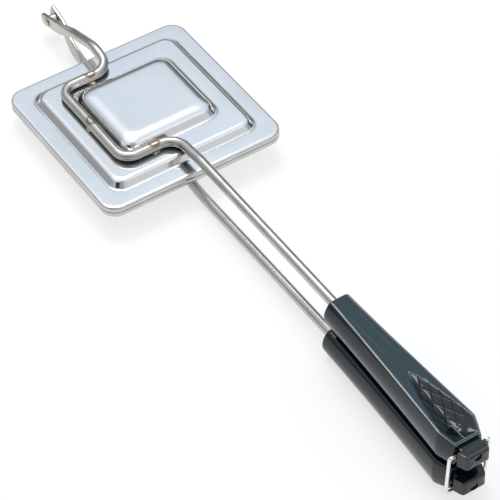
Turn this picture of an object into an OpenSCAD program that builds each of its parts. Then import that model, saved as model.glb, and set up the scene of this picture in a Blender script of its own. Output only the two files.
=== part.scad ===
// Double pie iron: two pressed steel plates on bent rod arms, riveted together
// behind the plates and held shut by a wire bail at the ends of the handles.
// X runs from the hinge (-X) to the handles (+X), Y across, Z up. The origin is on
// the flat underside that the closed iron is set down on, below the plates' centre.

/* [Plates] */
// Side of the square plate
plate_w = 120; // [112:1:130]
// Radius of the plate's outer corners
plate_corner_r = 10; // [6:0.5:12]
// Thickness of the pressed sheet
sheet_t = 1; // [0.8:0.1:1.2]
// Height of the turned rim, from its lip to the top of the flange
rim_h = 3.6; // [3:0.1:5]
// Rounding between the flange and the turned rim
rim_edge_r = 1.6; // [1.3:0.1:2]
// Gap between the two lips when the iron is shut
lip_gap = 0.2; // [0.1:0.05:0.6]
// Width of the flange, from the plate's edge to the foot of the first step
flange_w = 10.5; // [8:0.5:13]

/* [First step: the terrace] */
// Rise of the terrace above the flange
terrace_rise = 4.6; // [3.6:0.1:6]
// Corner radius at the foot of the terrace
terrace_corner_r = 9; // [8:0.5:12]
// Rounding at the top of the terrace's wall
terrace_top_r = 2.5; // [1.5:0.1:2.8]

/* [Second step: the plateau] */
// Rise of the plateau above the terrace
plateau_rise = 6.7; // [5.8:0.1:8]
// Length of the plateau's foot, along the arms
plateau_l = 63; // [56:0.5:66]
// Width of the plateau's foot, across the arms
plateau_w = 66; // [58:0.5:68]
// How far the plateau sits off the plate's centre, away from the rods' loops
plateau_shift = 2; // [0:0.25:3]
// Corner radius at the foot of the plateau
plateau_corner_r = 9; // [8.5:0.5:11]
// Rounding at the top of the plateau's wall
plateau_top_r = 4; // [3:0.1:4.5]

/* [Both steps] */
// Rounding at the foot of a step's wall, on the outside of the sheet
step_foot_r = 1.4; // [1:0.1:1.8]
// Slope of a step's wall from the horizontal, in degrees
step_slope = 62; // [56:1:72]

/* [Arms] */
// Diameter of the round rod
rod_d = 6; // [5:0.25:7]
// Gap between the rod's loop and the terrace that it is welded to
weld_gap = 0.1; // [0.05:0.05:0.2]
// Gap between the loop's front run and the plateau's foot
loop_front_gap = 0.5; // [0.2:0.1:2]
// Gap between the loop's left run and the plateau's foot
loop_side_gap = 0.3; // [0.2:0.1:2]
// Gap between the loop's back run and the plateau's foot
loop_back_gap = 3; // [1:0.25:5]
// Bend radius at the loop's two corners
loop_corner_r = 8.5; // [7:0.5:10]
// Bend radius where the loop turns into the straight runs
loop_exit_r = 11; // [9:0.5:12]
// Height of the straight rod above the plates' joint, just in front of the plates
rod_front_h = 14.05; // [13:0.05:16]
// Height of the straight rod above the plates' joint at its end in the handle
rod_tail_h = 12.85; // [12:0.05:14]
// Height of the bend behind the plates above the plates' joint
rod_peak_h = 14.6; // [13.5:0.1:16]
// Distance from the plates' back edge forward to that bend
rod_peak_in = 3.5; // [1:0.5:6]
// Radius of that bend
rod_peak_r = 20; // [16:1:24]
// Radius of the slight bend in front of the plates
rod_front_r = 40; // [30:1:45]

/* [Hinge] */
// Distance from the plates' back edge to the rivet
hinge_reach = 47.4; // [42:0.2:54]
// Diameter of the rivet
rivet_d = 4; // [3:0.25:4.5]
// Diameter of the rivet's heads
rivet_head_d = 7; // [6:0.25:8]
// Thickness of each rivet head
rivet_head_t = 1.3; // [1:0.1:2]
// Height of the flattened end of each rod
blade_h = 9.2; // [8.5:0.1:10]
// Thickness of the flattened end
blade_t = 2.5; // [2:0.1:3]
// Length of the flattened end in front of the rivet
blade_l = 19; // [16:0.5:20]
// Length of the flattened end behind the rivet
blade_tail = 6.5; // [5:0.25:7.5]
// Rounding of the flattened end's corners
blade_corner_r = 1.5; // [0.5:0.25:3]
// Length over which the round rod runs out into the flattened end
blade_taper = 14; // [8:0.5:15]
// Length of the collar between the two flattened ends
collar_l = 3.7; // [3:0.1:4.5]
// Outer diameter of the collar
collar_d = 6.5; // [6:0.25:8]

/* [Handles] */
// Bare rod between the plates' front edge and the handle
bare_rod = 139.5; // [120:0.5:160]
// How much nearer to the plates the lower handle sits than the upper one
lower_back = 1.8; // [0:0.1:2.5]
// Length of the handle's body, up to the latch groove
grip_l = 116; // [105:0.5:130]
// Half width of the handle's flat top at its front
top_half_front = 5.5; // [5:0.1:7]
// Half width of the handle's flat top at its widest
top_half_wide = 11.4; // [10.5:0.1:11.8]
// Half width of the handle's flat top at the latch groove
top_half_end = 7.9; // [7.5:0.1:8.8]
// Height of the flat top above the rod's centre line
top_h = 8; // [7:0.1:9]
// Height of the flat top above the rod's centre line, at the groove
top_h_end = 5.3; // [5:0.1:6.5]
// How far the sides bulge beyond the flat top, at the front
bulge_front = 4; // [2:0.1:5]
// How far the sides bulge beyond the flat top, at the groove
bulge_end = 1.2; // [0.5:0.1:2]
// Distance of the inner face below the rod's centre line
inner_h = 10.2; // [9:0.1:11]
// Half width of the inner face beyond the half width of the flat top
inner_extra = 0.3; // [-0.5:0.1:1]
// Distance from the latch groove back to the handle's widest place
wide_back = 10.5; // [9:0.5:15]

/* [Thumb recess] */
// Length of the thumb recess
recess_l = 51.3; // [44:0.1:56]
// Width of the rim between the recess and the edge of the flat top
recess_rim = 1.2; // [1:0.1:2]
// Depth of the recess below the flat top
recess_depth = 3.4; // [2.8:0.1:3.6]
// Distance between the recess and the latch groove
recess_end_wall = 1.2; // [1:0.1:3]

/* [Latch end] */
// Width of the groove that the bail lies in
groove_w = 2.7; // [2.6:0.1:4]
// Half width of the neck inside the groove
neck_half = 6.6; // [6:0.1:7.5]
// Height of the neck's top above the rod's centre line
neck_top = 2.3; // [2.2:0.1:2.6]
// Length of the knob past the groove
knob_l = 6.5; // [5:0.1:7.2]
// Half width of the knob at the groove
knob_half_back = 9; // [8:0.1:9.3]
// Half width of the knob's end face
knob_half_end = 6.3; // [5.5:0.1:7.5]
// Height of the knob's top above the rod's centre line
knob_top = 3.2; // [2.9:0.1:4]
// Distance of the knob's inner face below the rod's centre line
knob_inner = 6.8; // [6:0.1:8]
// Cut round the edges of the knob's end face
knob_cut = 1.2; // [0.6:0.1:1.4]
// Diameter of the screw hole in the knob's end
screw_hole_d = 4.4; // [4.2:0.1:4.6]
// Depth of that hole
screw_hole_depth = 3.4; // [3:0.1:3.8]
// Diameter of the handle screw's head
screw_head_d = 4; // [3.6:0.1:4]
// Height of the handle screw's head
screw_head_h = 2; // [1.5:0.1:2.5]
// Width of the slot in the screw's head
screw_slot_w = 0.8; // [0.6:0.1:1]
// Depth of the slot in the screw's head
screw_slot_h = 0.8; // [0.5:0.1:1]
// Diameter of the handle screw's shank
screw_d = 2.5; // [2.2:0.1:2.6]
// Length of the handle screw's shank
screw_l = 17; // [15:0.5:20]
// Distance from the latch groove back to the end of the rod inside the handle
rod_end_in = 3; // [2:0.5:5]

/* [Bail] */
// Diameter of the bail's wire
wire_d = 2; // [1.5:0.1:2.2]
// Clearance of the bail's crossbar over the lower knob as the bail swings
bail_gap = 0.15; // [0.05:0.05:1]
// Distance of each leg's centre line from the middle
leg_y = 12.5; // [11:0.1:13.5]
// Bend radius at the bail's corners
bail_corner_r = 3; // [2:0.25:4]
// Distance of the pivot below the rod's centre line
pivot_drop = 1.4; // [1:0.1:2.6]
// Depth of each pivot hole in the neck
pivot_depth = 3; // [2:0.1:3.2]

/* [Fits] */
// Radial clearance of running and sliding fits
fit = 0.05; // [0.02:0.01:0.1]

/* [Welds] */
// Diameter of a weld spot
weld_d = 6.5; // [5:0.25:8]
// Height of a weld spot above the terrace
weld_h = 1.2; // [0.8:0.1:1.8]
// Distance from the middle line to the weld spots on the front and back runs
weld_y = 14; // [13:0.5:22]
// Place of the weld spot along the side run, from the plates' centre
weld_x = -2; // [-12:1:12]

/* [Hidden] */
$fn = 48;

// Steps along each rounding of the pressed sheet
arc_steps = 5;
// How far a bend runs into the straight legs of a rod, and how much thinner it is
bend_lap = 0.15;
bend_thinning = 0.04;
// Rings between the flattened end of a rod and its round part, and points on each ring
taper_steps = 7;
taper_points = 24;
// How far the run-out stays inside the pieces that it joins, and how far it laps them
taper_skin = 0.03;
taper_lap = 1;
// Steps along one side of the handle's section, and along each side of the thumb recess
side_steps = 6;
recess_steps = 8;
// Length that a cutter runs past the face that it opens
past = 1;

// Heights above the plates' joint, measured on one plate
flange_top = lip_gap / 2 + rim_h;
terrace_top = flange_top + terrace_rise;
plateau_top = terrace_top + plateau_rise;
joint_z = plateau_top;

// Half sizes of the plate's levels at their feet
terrace_half = plate_w / 2 - flange_w;
plateau_half_x = plateau_l / 2;
plateau_half_y = plateau_w / 2;

// The arm's route: straight rod, loop round the plateau, bend behind the plates
rod_r = rod_d / 2;
loop_h = terrace_top + weld_gap + rod_r;
front_x = plate_w / 2 + 2;
loop_front_x = plateau_half_x + loop_front_gap + rod_r;
loop_back_x = -(plateau_half_x + loop_back_gap + rod_r);
loop_side_y = plateau_shift - plateau_half_y - loop_side_gap - rod_r;
hinge_x = -(plate_w / 2 + hinge_reach);
peak_x = -(plate_w / 2 - rod_peak_in);
blade_slope = atan2(rod_peak_h, peak_x - hinge_x);
blade_y = (collar_l + blade_t) / 2 + fit;
taper_end = blade_l + blade_taper;
taper_start = blade_l - taper_lap;

// Stations of the handle along the rod, measured from the rod's bend at front_x
grip_front = plate_w / 2 + bare_rod - front_x;
grip_end = grip_front + grip_l;
knob_start = grip_end + groove_w;
knob_end = knob_start + knob_l;
pivot_s = grip_end + groove_w / 2;
rod_end = grip_end - rod_end_in;
widest = grip_end - wide_back;
// Slope of the straight rod, towards the other arm at the handles
rod_slope = atan2(rod_front_h - rod_tail_h, rod_end);
// Height of the straight rod's centre line above the plates' joint at station s
function rod_h(s) = rod_front_h - s * sin(rod_slope);

// The bail reaches just past the outer edge of the knob on the other handle
wire_r = wire_d / 2;
pivot_r = wire_r + fit;
pivot_h = rod_h(pivot_s) - pivot_drop;
knob_corner = [knob_end - lower_back - knob_cut - pivot_s, pivot_h + rod_h(knob_end) + knob_top];
bail_l = norm(knob_corner) + wire_r + bail_gap;
// Shut, it leans back so that its crossbar lies in the lower handle's groove
bail_lean = asin(lower_back / bail_l);

// Points along a rounding of radius r about c, from angle a to angle b
function arc(c, r, a, b) = [for (i = [0:arc_steps])
    let (t = a + (b - a) * i / arc_steps) [c.x + r * cos(t), c.y + r * sin(t)]];

// Width in plan of a step's wall with the given rise and top rounding
function wall_run(rise, top_r) =
    (step_foot_r + top_r) * sin(step_slope)
    + (rise - (step_foot_r + top_r) * (1 - cos(step_slope))) / tan(step_slope);

// One face of a step's wall, foot at [0, 0], rising towards -X. "deep" moves it into the sheet.
function wall_face(rise, top_r, deep) =
    let (run = wall_run(rise, top_r))
    concat(arc([0, step_foot_r], step_foot_r + deep, -90, -90 - step_slope),
           arc([-run, rise - top_r], top_r - deep, 90 - step_slope, 90));

function reversed(list) = [for (i = [len(list) - 1:-1:0]) list[i]];

// Section of a step's wall as a band one sheet thick
module wall_section(rise, top_r)
    polygon(concat(wall_face(rise, top_r, 0), reversed(wall_face(rise, top_r, sheet_t))));

// Section of the turned rim, outer edge at x = 0, lip at y = 0
module rim_section() {
    inner_r = rim_edge_r - sheet_t;
    c = [-rim_edge_r, rim_h - rim_edge_r];
    polygon(concat([[0, 0]], arc(c, rim_edge_r, 0, 90), arc(c, inner_r, 90, 0), [[-sheet_t, 0]]));
}

// Carries a section round a rectangle with half sizes hx, hy and corner radius r.
// The section's x = 0 runs along the rectangle's edge.
module carry_round(hx, hy, r) {
    cx = hx - r;
    cy = hy - r;
    for (turn = [0:3]) {
        across = turn % 2 == 0 ? cx : cy;
        along = turn % 2 == 0 ? cy : cx;
        rotate(90 * turn) {
            translate([across, along])
                rotate_extrude(angle = 90) translate([r, 0]) children();
            translate([across + r, along, 0])
                rotate([90, 0, 0]) linear_extrude(2 * along) children();
        }
    }
}

// Flat rectangle of sheet with rounded corners
module rounded(hx, hy, r) {
    square([2 * hx, 2 * (hy - r)], center = true);
    square([2 * (hx - r), 2 * hy], center = true);
    for (sx = [-1, 1], sy = [-1, 1]) translate([sx * (hx - r), sy * (hy - r)]) circle(r);
}

// Flat level of the plate between an outer rectangle and the foot of the next step
module level(top, outer, inner, shift = 0)
    translate([0, 0, top - sheet_t]) linear_extrude(sheet_t) difference() {
        rounded(outer[0], outer[1], outer[2]);
        translate([0, shift]) rounded(inner[0], inner[1], inner[2]);
    }

// One pressed plate, hollow side down, over the plates' joint at z = 0
module plate() {
    terrace_run = wall_run(terrace_rise, terrace_top_r);
    plateau_run = wall_run(plateau_rise, plateau_top_r);
    edge_half = plate_w / 2;
    flat_half = edge_half - rim_edge_r;
    terrace_foot = [terrace_half, terrace_half, terrace_corner_r];
    terrace_flat = [for (v = terrace_foot) v - terrace_run];
    plateau_foot = [plateau_half_x, plateau_half_y, plateau_corner_r];
    plateau_flat = [for (v = plateau_foot) v - plateau_run];
    translate([0, 0, lip_gap / 2])
        carry_round(edge_half, edge_half, plate_corner_r) rim_section();
    level(flange_top, [flat_half, flat_half, plate_corner_r - rim_edge_r], terrace_foot);
    translate([0, 0, flange_top])
        carry_round(terrace_half, terrace_half, terrace_corner_r)
            wall_section(terrace_rise, terrace_top_r);
    level(terrace_top, terrace_flat, plateau_foot, plateau_shift);
    translate([0, plateau_shift, terrace_top])
        carry_round(plateau_half_x, plateau_half_y, plateau_corner_r)
            wall_section(plateau_rise, plateau_top_r);
    translate([0, plateau_shift, plateau_top - sheet_t])
        linear_extrude(sheet_t) rounded(plateau_flat[0], plateau_flat[1], plateau_flat[2]);
}

function unit(v) = v / norm(v);
// Angle that the rod turns through at point i
function turn_at(p, i) = acos(unit(p[i] - p[i - 1]) * unit(p[i + 1] - p[i]));
// Length of straight leg that the bend at point i takes up
function setback(p, r, i) = i == 0 || i == len(p) - 1 ? 0 : r[i] * tan(turn_at(p, i) / 2);

// Straight rod from a to b
module straight(a, b, d) {
    v = b - a;
    translate(a) rotate([0, acos(v.z / norm(v)), atan2(v.y, v.x)]) cylinder(h = norm(v), d = d);
}

// The bend at point i, part of a torus in the plane of the two legs
module bend(p, r, i, d) {
    u = unit(p[i] - p[i - 1]);
    w = unit(p[i + 1] - p[i]);
    inward = unit(w - u * (u * w));
    start = p[i] - u * setback(p, r, i);
    c = start + inward * r[i];
    z = cross(-inward, u);
    lap = bend_lap / r[i] * 180 / PI;
    multmatrix([[-inward.x, u.x, z.x, c.x], [-inward.y, u.y, z.y, c.y],
                [-inward.z, u.z, z.z, c.z], [0, 0, 0, 1]])
        rotate(-lap) rotate_extrude(angle = turn_at(p, i) + 2 * lap) translate([r[i], 0]) circle(d = d);
}

// Rod bent along the points p with the bend radii r. The bends are a hair thinner than
// the straight legs and run a little way into them, so that the rod is one clean solid.
module bent_rod(p, r, d) {
    for (i = [0:len(p) - 2]) {
        u = unit(p[i + 1] - p[i]);
        straight(p[i] + u * setback(p, r, i), p[i + 1] - u * setback(p, r, i + 1), d);
    }
    for (i = [1:len(p) - 2]) bend(p, r, i, d - bend_thinning);
}

// Places children along the straight rod: X along the rod, origin at its bend in front of the plates
module on_rod()
    translate([front_x, 0, rod_front_h]) rotate([0, rod_slope, 0]) children();

// Places children at the rivet, X along the flattened end
module on_blade()
    translate([hinge_x, 0, 0]) rotate([0, -blade_slope, 0]) children();

// One arm: rod, loop and flattened end, which lies to one side of the middle, -1 or 1.
// Its handle sits nearer to the plates by "back".
module arm(side, back) {
    tail = rod_end - back;
    rod_tail = [front_x + tail * cos(rod_slope), 0, rod_h(tail)];
    blade_end = [hinge_x + taper_end * cos(blade_slope), 0, taper_end * sin(blade_slope)];
    route = [rod_tail, [front_x, 0, rod_front_h], [loop_front_x, 0, loop_h],
             [loop_front_x, loop_side_y, loop_h], [loop_back_x, loop_side_y, loop_h],
             [loop_back_x, 0, loop_h], [peak_x, 0, rod_peak_h], blade_end];
    radii = [0, rod_front_r, loop_exit_r, loop_corner_r, loop_corner_r, loop_exit_r, rod_peak_r, 0];
    difference() {
        union() {
            bent_rod(route, radii, rod_d);
            on_blade() {
                loft([for (i = [0:taper_steps]) taper_ring(i / taper_steps, side)]);
                translate([0, side * blade_y, 0]) rotate([90, 0, 0])
                    linear_extrude(blade_t, center = true) blade_outline();
            }
        }
        translate([hinge_x, 0, 0]) rotate([90, 0, 0])
            cylinder(h = 4 * blade_y, d = rivet_d + 2 * fit, center = true);
        on_rod() translate([tail - screw_l, 0, 0]) rotate([0, 90, 0])
            cylinder(h = screw_l + past, d = screw_d + 2 * fit);
    }
}

// Ring of the run-out from the flattened end (t = 0) to the round rod (t = 1)
function taper_ring(t, side) =
    let (ease = t * t * (3 - 2 * t), square_off = 0.3 + 0.7 * ease,
         half_y = blade_t / 2 + (rod_r - blade_t / 2) * ease - taper_skin,
         half_z = blade_h / 2 + (rod_r - blade_h / 2) * ease - taper_skin,
         mid_y = side * blade_y * (1 - ease),
         s = taper_start + (taper_end + bend_lap - taper_start) * t)
    [for (i = [0:taper_points - 1]) let (a = 360 * i / taper_points)
        [s, mid_y + half_y * sign(sin(a)) * pow(abs(sin(a)), square_off),
         half_z * sign(cos(a)) * pow(abs(cos(a)), square_off)]];

// Side view of the flattened end, rivet at the origin
module blade_outline() {
    r = blade_corner_r;
    translate([-blade_tail + r, -blade_h / 2]) square([blade_l + blade_tail - r, blade_h]);
    translate([-blade_tail, -blade_h / 2 + r]) square([2 * r, blade_h - 2 * r]);
    for (s = [-1, 1]) translate([-blade_tail + r, s * (blade_h / 2 - r)]) circle(r);
}

// Weld spots between the loop's three runs and the terrace
module welds() {
    spots = [[loop_front_x, -weld_y], [weld_x, loop_side_y], [loop_back_x, -weld_y]];
    difference() {
        for (s = spots) translate([s.x, s.y, terrace_top]) cylinder(h = weld_h, d = weld_d);
        for (x = [loop_front_x, loop_back_x]) translate([x, -weld_y, loop_h]) rotate([90, 0, 0])
            cylinder(h = 2 * weld_d, d = rod_d + 2 * fit, center = true);
        translate([weld_x, loop_side_y, loop_h]) rotate([0, 90, 0])
            cylinder(h = 2 * weld_d, d = rod_d + 2 * fit, center = true);
    }
}

// Rivet through both flattened ends, with a low domed head at each side
module rivet() {
    head_y = collar_l / 2 + blade_t + 3 * fit;
    translate([hinge_x, 0, 0]) rotate([90, 0, 0]) {
        cylinder(h = 2 * head_y, d = rivet_d, center = true);
        for (s = [0, 1]) mirror([0, 0, s]) translate([0, 0, head_y]) rotate_extrude()
            intersection() {
                translate([0, rivet_head_t - dome_r()]) circle(dome_r());
                square([rivet_head_d / 2, rivet_head_t]);
            }
    }
}

// Radius of the sphere that makes the rivet head's dome
function dome_r() = (pow(rivet_head_d / 2, 2) + pow(rivet_head_t, 2)) / (2 * rivet_head_t);

// Collar that keeps the two flattened ends apart
module collar()
    translate([hinge_x, 0, 0]) rotate([90, 0, 0]) difference() {
        cylinder(h = collar_l, d = collar_d, center = true);
        cylinder(h = collar_l + past, d = rivet_d + 2 * fit, center = true);
    }

// Solid through a list of rings with equally many points each
module loft(rings) {
    n = len(rings[0]);
    m = len(rings);
    sides = [for (j = [0:m - 2], i = [0:n - 1]) let (k = (i + 1) % n)
        each [[j * n + i, j * n + k, (j + 1) * n + k], [j * n + i, (j + 1) * n + k, (j + 1) * n + i]]];
    polyhedron(points = [for (ring = rings) each ring],
               faces = concat(sides, [[for (i = [n - 1:-1:0]) i]], [[for (i = [0:n - 1]) (m - 1) * n + i]]));
}

// Share of the way from the widest place to the latch groove, eased at its start
function drop(s) = pow(max(0, s - widest) / wide_back, 1.2);

// Half width of the handle's flat top at station s
function top_half(s) = s < widest
    ? top_half_front + (top_half_wide - top_half_front) * pow((s - grip_front) / (widest - grip_front), 1.15)
    : top_half_wide + (top_half_end - top_half_wide) * drop(s);

// Height of the handle's top above the rod's centre line at station s
function top_at(s) = top_h + (top_h_end - top_h) * drop(s);

// Share of the way from the handle's front to the latch groove
function share(s) = (s - grip_front) / grip_l;

// Ring of the handle at station s: flat top, bulging sides, flat inner face
function grip_ring(s) =
    let (a = top_half(s), h = top_at(s), c = a + inner_extra,
         b = a + bulge_front + (bulge_end - bulge_front) * share(s), mid = 2 * b - (a + c) / 2,
         side = [for (i = [0:side_steps]) let (t = i / side_steps)
             [a * pow(1 - t, 2) + mid * 2 * t * (1 - t) + c * pow(t, 2),
              h * pow(1 - t, 2) - inner_h * pow(t, 2)]])
    concat([for (p = side) [s, p.x, p.y]], [for (p = reversed(side)) [s, -p.x, p.y]]);

// Half width of the thumb recess at station s: a pointed arch that ends inside the rim
function recess_half(s) = let (tip = grip_end - recess_end_wall - recess_l)
    s < widest ? (top_half_wide - recess_rim) * pow(max(0, s - tip) / (widest - tip), 0.62)
               : top_half(s) - recess_rim;

// Outline of the thumb recess, drawn in to "size" about its deepest place. Each point lies
// at a share "up" of the way from the recess's floor to the handle's top beside it, or at
// the height "flat" if that is given.
function recess_ring(size, up, flat = undef) =
    let (far = grip_end - recess_end_wall, tip = far - recess_l, mid = widest - 4,
         floor = top_h - recess_depth,
         edge = [for (i = [0:recess_steps]) let (s = tip + recess_l * pow(i / recess_steps, 1.3),
                 h = is_undef(flat) ? floor + (top_at(s) - floor) * up : flat)
             [mid + (s - mid) * size, recess_half(s) * size, h]])
    concat(edge, [for (i = [recess_steps:-1:1]) [edge[i].x, -edge[i].y, edge[i].z]]);

// Ring of the knob at station s with half width w, drawn in by "cut" at its top and bottom
function knob_ring(s, w, cut) =
    [[s, w, knob_top - cut], [s, w, -knob_inner + cut], [s, -w, -knob_inner + cut], [s, -w, knob_top - cut]];

// One moulded handle, along the rod, with the bail's pivot holes if it carries the bail
module grip(pivots) {
    shares = [0, 0.2, 0.4, 0.6, 0.8];
    stations = concat([for (t = shares) grip_front + (widest - grip_front) * t],
                      [for (t = [0, 0.25, 0.6, 1]) widest + wide_back * t]);
    cut_half = knob_half_back + (knob_half_end - knob_half_back) * (1 - knob_cut / knob_l);
    difference() {
        union() {
            loft([for (s = stations) grip_ring(s)]);
            translate([grip_end, -neck_half, -knob_inner])
                cube([groove_w, 2 * neck_half, knob_inner + neck_top]);
            loft([knob_ring(knob_start, knob_half_back, 0), knob_ring(knob_end - knob_cut, cut_half, 0),
                  knob_ring(knob_end, knob_half_end, knob_cut)]);
        }
        translate([grip_front - past, 0, 0]) rotate([0, 90, 0])
            cylinder(h = rod_end + 2 * fit - grip_front + past, d = rod_d + 2 * fit);
        translate([rod_end, 0, 0]) rotate([0, 90, 0])
            cylinder(h = knob_end - rod_end, d = screw_d + 2 * fit);
        translate([knob_end - screw_hole_depth, 0, 0]) rotate([0, 90, 0])
            cylinder(h = screw_hole_depth + past, d = screw_hole_d);
        loft([recess_ring(0.5, 0, top_h - recess_depth), recess_ring(0.75, 0.2),
              recess_ring(0.93, 0.6), recess_ring(1, 1), recess_ring(1, 0, top_h + past)]);
        if (pivots)
            for (s = [-1, 1])
                translate([pivot_s, s * (neck_half - pivot_depth), -pivot_drop]) rotate([-90 * s, 0, 0])
                    cylinder(h = pivot_depth + past, r = pivot_r);
    }
}

// Screw that holds the handle on the rod
module handle_screw() {
    head_seat = knob_end - screw_hole_depth;
    translate([head_seat - screw_l + rod_end_in, 0, 0]) rotate([0, 90, 0])
        cylinder(h = screw_l - rod_end_in, d = screw_d);
    translate([head_seat, 0, 0]) rotate([0, 90, 0]) difference() {
        cylinder(h = screw_head_h, d = screw_head_d);
        translate([0, 0, screw_head_h])
            cube([screw_head_d + past, screw_slot_w, 2 * screw_slot_h], center = true);
    }
}

// Wire bail that hangs from the upper handle and hooks under the lower one
module bail_wire() {
    tip_y = neck_half - pivot_depth + fit;
    route = [[0, -tip_y, 0], [0, -leg_y, 0], [0, -leg_y, -bail_l],
             [0, leg_y, -bail_l], [0, leg_y, 0], [0, tip_y, 0]];
    top_r = 1.5 * wire_r;
    bent_rod(route, [0, top_r, bail_corner_r, bail_corner_r, top_r, 0], wire_d);
}

// The upper half stands on the plates' joint, the lower half is its mirror image below
module upper() translate([0, 0, joint_z]) children();
module lower() translate([0, 0, joint_z]) mirror([0, 0, 1]) children();

color([0.8, 0.84, 0.88]) lower() plate();  // lower_plate
color([0.8, 0.84, 0.88]) upper() plate();  // upper_plate
color([0.66, 0.65, 0.62]) lower() arm(1, lower_back);  // lower_arm
color([0.66, 0.65, 0.62]) upper() arm(-1, 0);  // upper_arm
color([0.6, 0.52, 0.45]) lower() welds();  // lower_welds
color([0.6, 0.52, 0.45]) upper() welds();  // upper_welds
color([0.7, 0.62, 0.52]) upper() rivet();  // hinge_rivet
color([0.6, 0.6, 0.6]) upper() collar();  // hinge_collar
color([0.16, 0.19, 0.2])  // lower_handle
    lower() on_rod() translate([-lower_back, 0, 0]) grip(false);
color([0.16, 0.19, 0.2]) upper() on_rod() grip(true);  // upper_handle
color([0.5, 0.45, 0.4])  // lower_handle_screw
    lower() on_rod() translate([-lower_back, 0, 0]) handle_screw();
color([0.5, 0.45, 0.4]) upper() on_rod() handle_screw();  // upper_handle_screw
color([0.85, 0.83, 0.8])  // bail
    upper() translate([front_x, 0, rod_front_h]) rotate([0, rod_slope, 0])
        translate([pivot_s, 0, -pivot_drop]) rotate([0, bail_lean - rod_slope, 0]) bail_wire();
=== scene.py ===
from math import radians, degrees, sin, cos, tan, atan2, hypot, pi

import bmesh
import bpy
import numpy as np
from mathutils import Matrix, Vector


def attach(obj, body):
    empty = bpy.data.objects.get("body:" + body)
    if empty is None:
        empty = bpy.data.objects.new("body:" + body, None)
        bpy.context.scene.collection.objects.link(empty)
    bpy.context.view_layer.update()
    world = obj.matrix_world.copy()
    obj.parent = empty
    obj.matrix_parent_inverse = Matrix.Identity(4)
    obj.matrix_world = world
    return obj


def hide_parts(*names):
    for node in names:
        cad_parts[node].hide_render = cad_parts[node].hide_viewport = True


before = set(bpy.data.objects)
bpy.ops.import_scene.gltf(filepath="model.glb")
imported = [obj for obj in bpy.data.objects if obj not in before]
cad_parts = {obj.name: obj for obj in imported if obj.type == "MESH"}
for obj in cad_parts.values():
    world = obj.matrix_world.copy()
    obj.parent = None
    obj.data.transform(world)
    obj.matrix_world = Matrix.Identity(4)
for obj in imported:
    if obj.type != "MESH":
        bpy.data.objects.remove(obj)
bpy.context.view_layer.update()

# %% [markdown]
# # A pie iron
# Two pressed steel plates close round a filled slice of bread. Each plate is welded to a bent
# rod, the rods are riveted together behind the plates, and a wire bail holds the two black
# handles shut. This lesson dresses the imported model: each piece is worked out again as a fine
# smooth surface, and each gets a finish made of nodes. Lengths are written in millimetres, as
# on a drawing, and turned into metres where a mesh is made.

MM = 0.001
JOINT_Z = 15.0  # height of the plates' joint
UPPER, LOWER = 1, -1  # the lower half is the upper one counted downwards
HALVES = (("upper", UPPER, "upper_half"), ("lower", LOWER, "lower_half"))

# %% [markdown]
# ## Grids of points
# Every piece here is a sheet of points in rows and columns, with faces between neighbours. A
# closed skin joins its last column to the first and has a point in the middle of each end.
# Modelling by hand would give the same faces, but a formula keeps every curve smooth and
# changes with one number.

# %% Faces between rows and columns
def net(rows, columns, around=True):
    """Four-sided faces between neighbours in a grid; around joins the last column to the first."""
    row, column = np.meshgrid(np.arange(rows - 1), np.arange(columns - (not around)), indexing="ij")
    beside = (column + 1) % columns
    corners = [row * columns + column, row * columns + beside,
               (row + 1) * columns + beside, (row + 1) * columns + column]
    return np.stack(corners, axis=-1).reshape(-1, 4)


def fan(ring, centre):
    """Triangles from each pair of neighbours in a ring of point numbers to a centre point."""
    ring = np.asarray(ring)
    return np.stack([ring, np.roll(ring, -1), np.full(len(ring), centre)], axis=-1)


def skin(rings):
    """Closed skin over a (rows, columns, 3) array: the net, and a fan at each end."""
    rows, columns = rings.shape[:2]
    points = np.concatenate([rings.reshape(-1, 3), rings[0].mean(0)[None], rings[-1].mean(0)[None]])
    first = np.arange(columns)
    last = first + (rows - 1) * columns
    faces = net(rows, columns).tolist()
    faces += fan(first, rows * columns).tolist() + fan(last, rows * columns + 1).tolist()
    return points, faces


print("three rings of eight points:", len(net(3, 8)), "faces between them")

# %% [markdown]
# ## From points to a piece
# The points go into a mesh, doubles are merged, and the faces are turned to look outwards. An
# edge stays crisp where its faces meet at more than the given angle. Marks are numbers kept at
# the points for the finish to read. Then the piece is hung on the body that it rides on, the
# imported solid that it stands for is hidden, and it takes its finish.

# %% Making a piece
def piece(name, shells, half, body, node, finish, crisp=38.0, marks=None):
    """One object from (points, faces) shells, heights counted from the joint up or down."""
    points, faces, start = [], [], 0
    for shell_points, shell_faces in shells:
        points.append(shell_points)
        faces += [[start + k for k in face] for face in shell_faces]
        start += len(shell_points)
    points = np.concatenate(points) * [1, 1, half] + [0, 0, JOINT_Z]
    mesh = bpy.data.meshes.new(name)
    mesh.from_pydata(points * MM, [], faces)
    for mark, values in (marks or {}).items():
        stored = mesh.attributes.new(mark, "FLOAT", "POINT")
        stored.data.foreach_set("value", np.asarray(values, np.float32))
    work = bmesh.new()
    work.from_mesh(mesh)
    bmesh.ops.remove_doubles(work, verts=work.verts, dist=1e-7)
    bmesh.ops.dissolve_degenerate(work, edges=work.edges, dist=1e-8)
    bmesh.ops.recalc_face_normals(work, faces=work.faces)
    open_edges = sum(not edge.is_manifold for edge in work.edges)
    work.to_mesh(mesh)
    work.free()
    mesh.shade_smooth()
    mesh.set_sharp_from_angle(angle=radians(crisp))
    made = bpy.data.objects.new(name, mesh)
    bpy.context.scene.collection.objects.link(made)
    mesh.materials.append(finish)
    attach(made, body)
    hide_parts(node)
    print(f"{name}: {len(mesh.polygons)} faces, {open_edges} open edges")


# %% [markdown]
# ## Sums in a material
# A finish is a small calculation about each point of a surface: how far it is from a weld, how
# rough. Blender draws that as nodes joined by lines. This class lets Python write the same
# thing as sums, so that `1 - mask` adds one Math node.

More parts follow.
